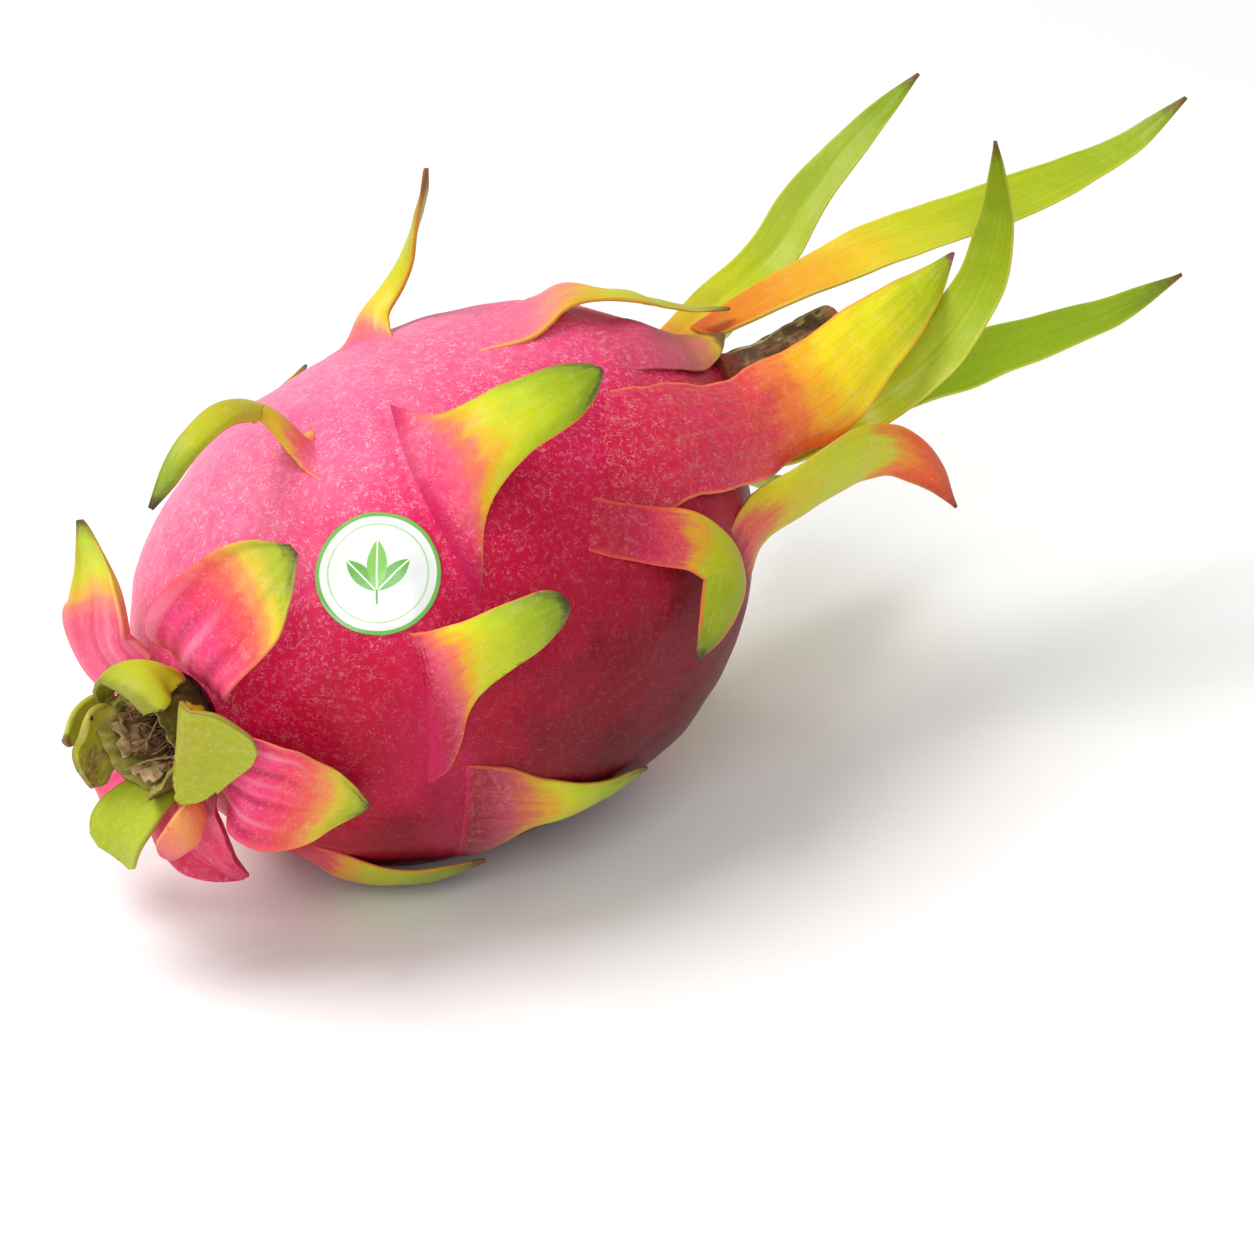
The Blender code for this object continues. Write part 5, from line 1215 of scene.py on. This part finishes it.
def remnant_piece(r):
    """Dry fibres and the papery foot of the flower, inside the navel cup."""
    parts = []
    # the cup's inner wall: a short rough sleeve
    n, m = 26, 96
    v = np.linspace(0.0, 1.0, n)
    ang = np.arange(m) * 2 * math.pi / m
    axis = CUP_AXIS
    rows = []
    for k in range(n):
        x = -69.4 - 11.8 * v[k]
        rim = 1.6 * np.sin(ang * 3 + 0.7) + 1.0 * np.sin(ang * 5 + 2.0)
        rr = curve([(0, 6.4), (0.2, 7.8), (0.6, 8.7), (1, 8.5)], v[k]) + 0.25 * np.sin(ang * 7 + v[k] * 4) + 0.18 * np.sin(ang * 17 + v[k] * 9)
        rows.append(np.stack([x - rim * v[k] ** 3, axis[0] - np.sin(ang) * rr, axis[1] + np.cos(ang) * rr * 1.12], -1))
    inner = []
    for k in range(n):
        x = rows[n - 1 - k][:, 0]
        w = curve([(0, 0.35), (0.15, 1.3), (1, 1.6)], k / (n - 1))
        c = np.stack([0 * ang, axis[0] + 0 * ang, axis[1] + 0 * ang], -1)
        q = rows[n - 1 - k].copy()
        d = q - c
        d[:, 0] = 0
        q = q - unit(d) * (w + 0.25 * np.sin(ang * 11 + k * 0.6)[:, None] + 0.2 * np.sin(ang * 23 + k)[:, None])
        q[:, 0] = x
        inner.append(q)
    rings = rows + inner
    verts = np.concatenate(rings)
    faces = ring_faces(len(rings), m)
    # the inner wall runs from light at the rim to dark deep inside: painted shade in the hollow
    t = np.concatenate([np.full(m, 0.25 + 0.0 * k) for k in range(n)] + [np.full(m, 1.0 - 0.9 * k / (n - 1)) for k in range(n)])
    parts.append((verts, flip_out(verts, faces), {"shade_and_tone": t, "fibre": np.zeros(len(verts))}))
    # withered fibres
    for i in range(190):
        a = r.uniform(0, 2 * math.pi)
        rad = 7.0 * math.sqrt(r.uniform(0.02, 1.0))
        start = np.array([r.uniform(-70.5, -68.6), axis[0] - math.sin(a) * rad, axis[1] + math.cos(a) * rad])
        lean = r.normal(0, 0.34, 3)
        length = r.uniform(3.0, 9.0) * (0.8 + 0.5 * rad / 7.0)
        d = np.array([-1.0, lean[1] - math.sin(a) * 0.12, lean[2] + math.cos(a) * 0.12])
        curl = r.normal(0, 1.5, 3)
        s = np.linspace(0, 1, 9)[:, None]
        pts = start + unit(d) * length * s + curl * s**2 + 0.25 * np.sin(s * 7 + i) * r.normal(0, 1, 3)
        off = pts[:, 1:] - np.array(axis)
        far = np.linalg.norm(off, axis=1)
        lim = np.minimum(far, 7.0)
        pts[:, 1:] = np.array(axis) + off * (lim / np.maximum(far, 1e-6))[:, None]
        radii = r.uniform(0.13, 0.42) * np.linspace(1.0, 0.35, 9)
        fv, ff, _ = tube(pts, radii, 7, None, r.uniform(0.35, 1.0))
        parts.append((fv, flip_out(fv, ff), {"shade_and_tone": np.full(len(fv), r.uniform(0.2, 1.0)), "fibre": np.ones(len(fv))}))
    # crumpled papery flakes on the wall
    for i in range(16):
        a = [2.3, 2.0, 2.6, 1.7, -1.2, -1.5, -0.9, -1.9, 1.1, 2.9, -2.3, 0.4, 1.4, -0.4, 3.1, 2.2][i]
        c = np.array([-72.0 - 0.45 * (i % 8) - 1.2 * (i % 3), axis[0] - math.sin(a) * 6.2, axis[1] + math.cos(a) * 6.2])
        k = 11
        g1, g2 = np.meshgrid(np.linspace(-1, 1, k), np.linspace(-1, 1, k), indexing="ij")
        tang = np.array([0.0, -math.cos(a), -math.sin(a)])
        inw = np.array([0.0, math.sin(a), -math.cos(a)])
        size = r.uniform(1.6, 3.2)
        wr = wob(np.stack([g1 * 3 + i * 5, g2 * 3, 0 * g1], -1).reshape(-1, 3), 2.2, 40 + i, 8).reshape(k, k)
        sheet = c + g1[..., None] * size * np.array([1.25, 0, 0]) + g2[..., None] * size * tang + (0.9 * wr)[..., None] * inw
        hh = np.stack([0 * g1, inw[1] + 0 * g1, inw[2] + 0 * g1], -1) * 0.12
        fv, ff = close_sheet(sheet + hh, sheet - hh)
        parts.append((fv, flip_out(fv, ff), {"shade_and_tone": np.full(len(fv), r.uniform(0.6, 1.0)), "fibre": np.ones(len(fv))}))
    return join(parts)


def remnant_material():
    g = Graph("flower_remnant")
    shade_and_tone, fibre = g.attr("shade_and_tone"), g.attr("fibre")
    n = g.noise(g.pos, 420.0, 5.0, 0.7)
    fine = g.noise(g.scaled(g.pos, (500.0, 1900.0, 1900.0)), 1.0, 4.0, 0.7)
    dry = g.ramp(g.sum(g.mul(n, 0.55), g.mul(shade_and_tone, 0.42)), [(0.2, (52, 32, 20)), (0.38, (98, 66, 40)), (0.55, (150, 112, 74)), (0.72, (196, 164, 122)), (0.9, (226, 206, 172))])
    wall = g.ramp(g.sum(g.mul(n, 0.75), g.mul(shade_and_tone, 0.3)), [(0.2, (54, 40, 18)), (0.4, (100, 88, 34)), (0.6, (146, 138, 58)), (0.8, (176, 164, 92)), (0.95, (170, 136, 90))])
    colour = g.mix(fibre, wall, dry)
    # painted shade deep in the cup
    depth = g.step(g.dot(g.pos, (1.0, 0.0, 0.0)), -0.0775, -0.0700)
    colour = g.mix(g.mul(depth, 0.62), colour, srgb(36, 20, 12))
    return g.finish(colour, 0.72, g.bump(g.sum(fine, n), 0.7, 0.0003), spec=0.25)


def sticker_piece(tree):
    x, th = STICKER_AT[0], math.radians(STICKER_AT[1])
    c, n = skin(x, th), skin_normal(x, th)
    e = 1e-3
    a = unit(skin(x + e, th) - skin(x - e, th))
    b = np.cross(n, a)
    # the design stands upright to a viewer who looks down from the near left
    up = unit(STICKER_UP - n * np.dot(STICKER_UP, n))
    right = np.cross(up, n)
    sides = 96
    radii = np.concatenate([np.linspace(0.03, 0.9, 30), [0.94, 0.965, 0.985, 1.0]])
    ang = np.arange(sides) * 2 * math.pi / sides
    pts = [c]
    disc = [(0.0, 0.0)]
    for k in radii:
        for w in ang:
            pts.append(c + STICKER_RADIUS * k * (right * math.cos(w) + up * math.sin(w)))
            disc.append((k * math.cos(w), k * math.sin(w)))
    near, nn = near_skin(tree, np.array(pts))
    disc = np.array(disc)
    rad = np.linalg.norm(disc, axis=1)
    lift = 0.26 + 0.05 * np.sin(disc[:, 0] * 4 + 1) * np.cos(disc[:, 1] * 3)
    # the margin lifts a little in places
    lift = lift + 0.35 * smooth((rad - 0.86) / 0.14) * np.maximum(0, np.sin(np.arctan2(disc[:, 1], disc[:, 0]) * 2 + 0.6)) ** 2
    # it lies a little above the nearest points of the skin
    m = len(pts)
    mid = near + nn * lift[:, None]
    flatness = np.array(pts) - c
    verts = np.concatenate([mid + nn * 0.07, mid - nn * 0.07])
    faces = []
    for s in (0, 1):
        for j in range(sides):
            k = (j + 1) % sides
            faces.append((s * m, s * m + 1 + j, s * m + 1 + k))
            for r in range(len(radii) - 1):
                p, q = s * m + 1 + r * sides, s * m + 1 + (r + 1) * sides
                faces.append((p + j, q + j, q + k, p + k))
    faces = [f if max(f) < m else tuple(reversed(f)) for f in faces]
    o = 1 + (len(radii) - 1) * sides
    for j in range(sides):
        k = (j + 1) % sides
        faces.append((o + j, m + o + j, m + o + k, o + k))
    both = lambda z: np.concatenate([z, z])
    return verts, flip_out(verts, faces), {"disc_x": both(disc[:, 0]), "disc_y": both(disc[:, 1]), "top": np.concatenate([np.ones(m), np.zeros(m)])}


def sticker_material():
    """White, a green rim and three plain leaves: no words and no mark."""
    g = Graph("sticker")
    x, y = g.attr("disc_x"), g.attr("disc_y")
    r = g.math("SQRT", g.sum(g.mul(x, x), g.mul(y, y)))
    colour = g.mix(g.step(g.noise(g.pos, 90.0, 2.0), 0.3, 0.7), srgb(232, 233, 231), srgb(222, 224, 222))
    colour = g.mix(g.step(r, 0.925, 0.935), colour, srgb(104, 176, 72))
    band = g.mul(g.step(r, 0.775, 0.783), g.step(r, 0.812, 0.804))
    colour = g.mix(band, colour, srgb(176, 208, 160))

    def leaf(cx, cy, turn, long, wide):
        c, s = math.cos(turn), math.sin(turn)
        dx, dy = g.sum(x, -cx), g.sum(y, -cy)
        p = g.sum(g.mul(dx, c), g.mul(dy, s))
        q = g.sum(g.mul(dx, -s), g.mul(dy, c))
        p2 = g.mul(g.mul(p, p), 1 / long**2)
        w = g.mul(g.sum(1.0, g.mul(p2, -1.0)), wide)
        body = g.step(g.sum(w, g.mul(g.math("ABSOLUTE", q), -1.0)), 0.0, 0.008)
        rib = g.mul(body, g.step(g.math("ABSOLUTE", q), 0.016, 0.009))
        return body, rib

    for cx, cy, turn, long, wide, c in (
        (-0.25, -0.04, 2.35, 0.36, 0.145, (96, 168, 66)),
        (0.25, -0.04, 0.79, 0.36, 0.145, (96, 168, 66)),
        (0.0, 0.12, 1.5708, 0.42, 0.165, (126, 190, 80)),
    ):
        body, rib = leaf(cx, cy, turn, long, wide)
        colour = g.mix(body, colour, srgb(*c))
        colour = g.mix(rib, colour, srgb(236, 244, 226))
    stalk = g.mul(g.step(g.math("ABSOLUTE", x), 0.022, 0.014), g.mul(g.step(y, -0.5, -0.49), g.step(y, -0.26, -0.27)))
    colour = g.mix(stalk, colour, srgb(96, 150, 66))
    return g.finish(colour, 0.22, g.bump(g.noise(g.pos, 160.0, 2.0), 0.15, 0.0004), coat=0.5, spec=0.5)


# ----------------------------------------------------------------- assembly
CUP_AXIS = (0.4, 42.0)
STICKER_UP = np.array([0.34, 0.30, 0.89])


coarse = build_body(70, 96)
base_tree = build_tree(*coarse)
blades = {}
for i, (name, b) in enumerate(BLADES.items()):
    d = dict(b)
    d.update(FORM.get(name, {}))
    d["seed"] = i + 2
    blades[name] = d

creases = []
for name, b in blades.items():
    if "root" in b:
        strength, swell = SINK.get(name, (0.5, 0.5))
        creases.append((root_line(b, base_tree), strength, swell))

rows, sides = ((330, 420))
sv, sf, sa = skin_piece(rows, sides, creases)
tree = build_tree(sv, sf)
make("fruit_skin", sv, sf, sa, skin_material(), ["fruit_body"], 0)

for i, (name, b) in enumerate(blades.items()):
    lk = LOOKS[name]
    v, f, a = fine_blade(name, b, tree, lk)
    make(name + "_fine", v, flip_out(v, f), a, blade_material(name, lk, i * 1.37 + 0.5), [name], 0)

v, f, a = stem_piece()
make("stem_fine", v, f, a, stem_material(), ["stem_stub"], 70)
v, f, a = remnant_piece(np.random.default_rng(5))
make("flower_fibres", v, f, a, remnant_material(), ["flower_remnant"], 0)
v, f, a = sticker_piece(tree)
make("sticker_fine", v, f, a, sticker_material(), ["sticker"], 50)

# -------------------------------------------------------------------- studio
scene = bpy.context.scene
floor_mesh = bpy.data.meshes.new("studio_floor")
floor_mesh.from_pydata([(-6, -6, 0), (6, -6, 0), (6, 6, 0), (-6, 6, 0)], [], [(0, 1, 2, 3)])
floor_mat = bpy.data.materials.new("studio_floor")
floor_mat.use_nodes = True
fb = floor_mat.node_tree.nodes["Principled BSDF"]
fb.inputs["Base Color"].default_value = (0.90, 0.895, 0.895, 1.0)
fb.inputs["Roughness"].default_value = 0.7
fb.inputs["Specular IOR Level"].default_value = 0.2
floor_mesh.materials.append(floor_mat)
floor = bpy.data.objects.new("studio_floor", floor_mesh)
scene.collection.objects.link(floor)

world = bpy.data.worlds.new("studio")
scene.world = world
world.use_nodes = True
bg = world.node_tree.nodes["Background"]
bg.inputs["Color"].default_value = (1.0, 1.0, 1.0, 1.0)
bg.inputs["Strength"].default_value = WORLD


def area(name, place, target, size, power, colour=(1, 1, 1)):
    lamp = bpy.data.lights.new(name, "AREA")
    lamp.shape = "DISK"
    lamp.size = size
    lamp.energy = power
    lamp.color = colour
    ob = bpy.data.objects.new(name, lamp)
    ob.location = place
    ob.rotation_euler = (Vector(target) - Vector(place)).to_track_quat("-Z", "Y").to_euler()
    scene.collection.objects.link(ob)
    return ob


for args in LIGHTS:
    area(*args)

cam = bpy.data.cameras.new("camera")
cam.sensor_width = 36.0
cam.lens = 36.0 * 3920.0 / 1254.0
cam.clip_start, cam.clip_end = 0.05, 30.0
cam_ob = bpy.data.objects.new("camera", cam)
back = Vector((-0.6621, -0.5962, 0.4540)).normalized()
right = Vector((0.6691, -0.7431, 0.0)).normalized()
up = back.cross(right).normalized()
from mathutils import Matrix

cam_ob.matrix_world = Matrix((
    (right.x, up.x, back.x, -0.4492),
    (right.y, up.y, back.y, -0.4400),
    (right.z, up.z, back.z, 0.3531),
    (0, 0, 0, 1),
))
scene.collection.objects.link(cam_ob)
scene.camera = cam_ob
scene.view_settings.view_transform = "Standard"
scene.view_settings.look = "None"
scene.view_settings.exposure = 0.0
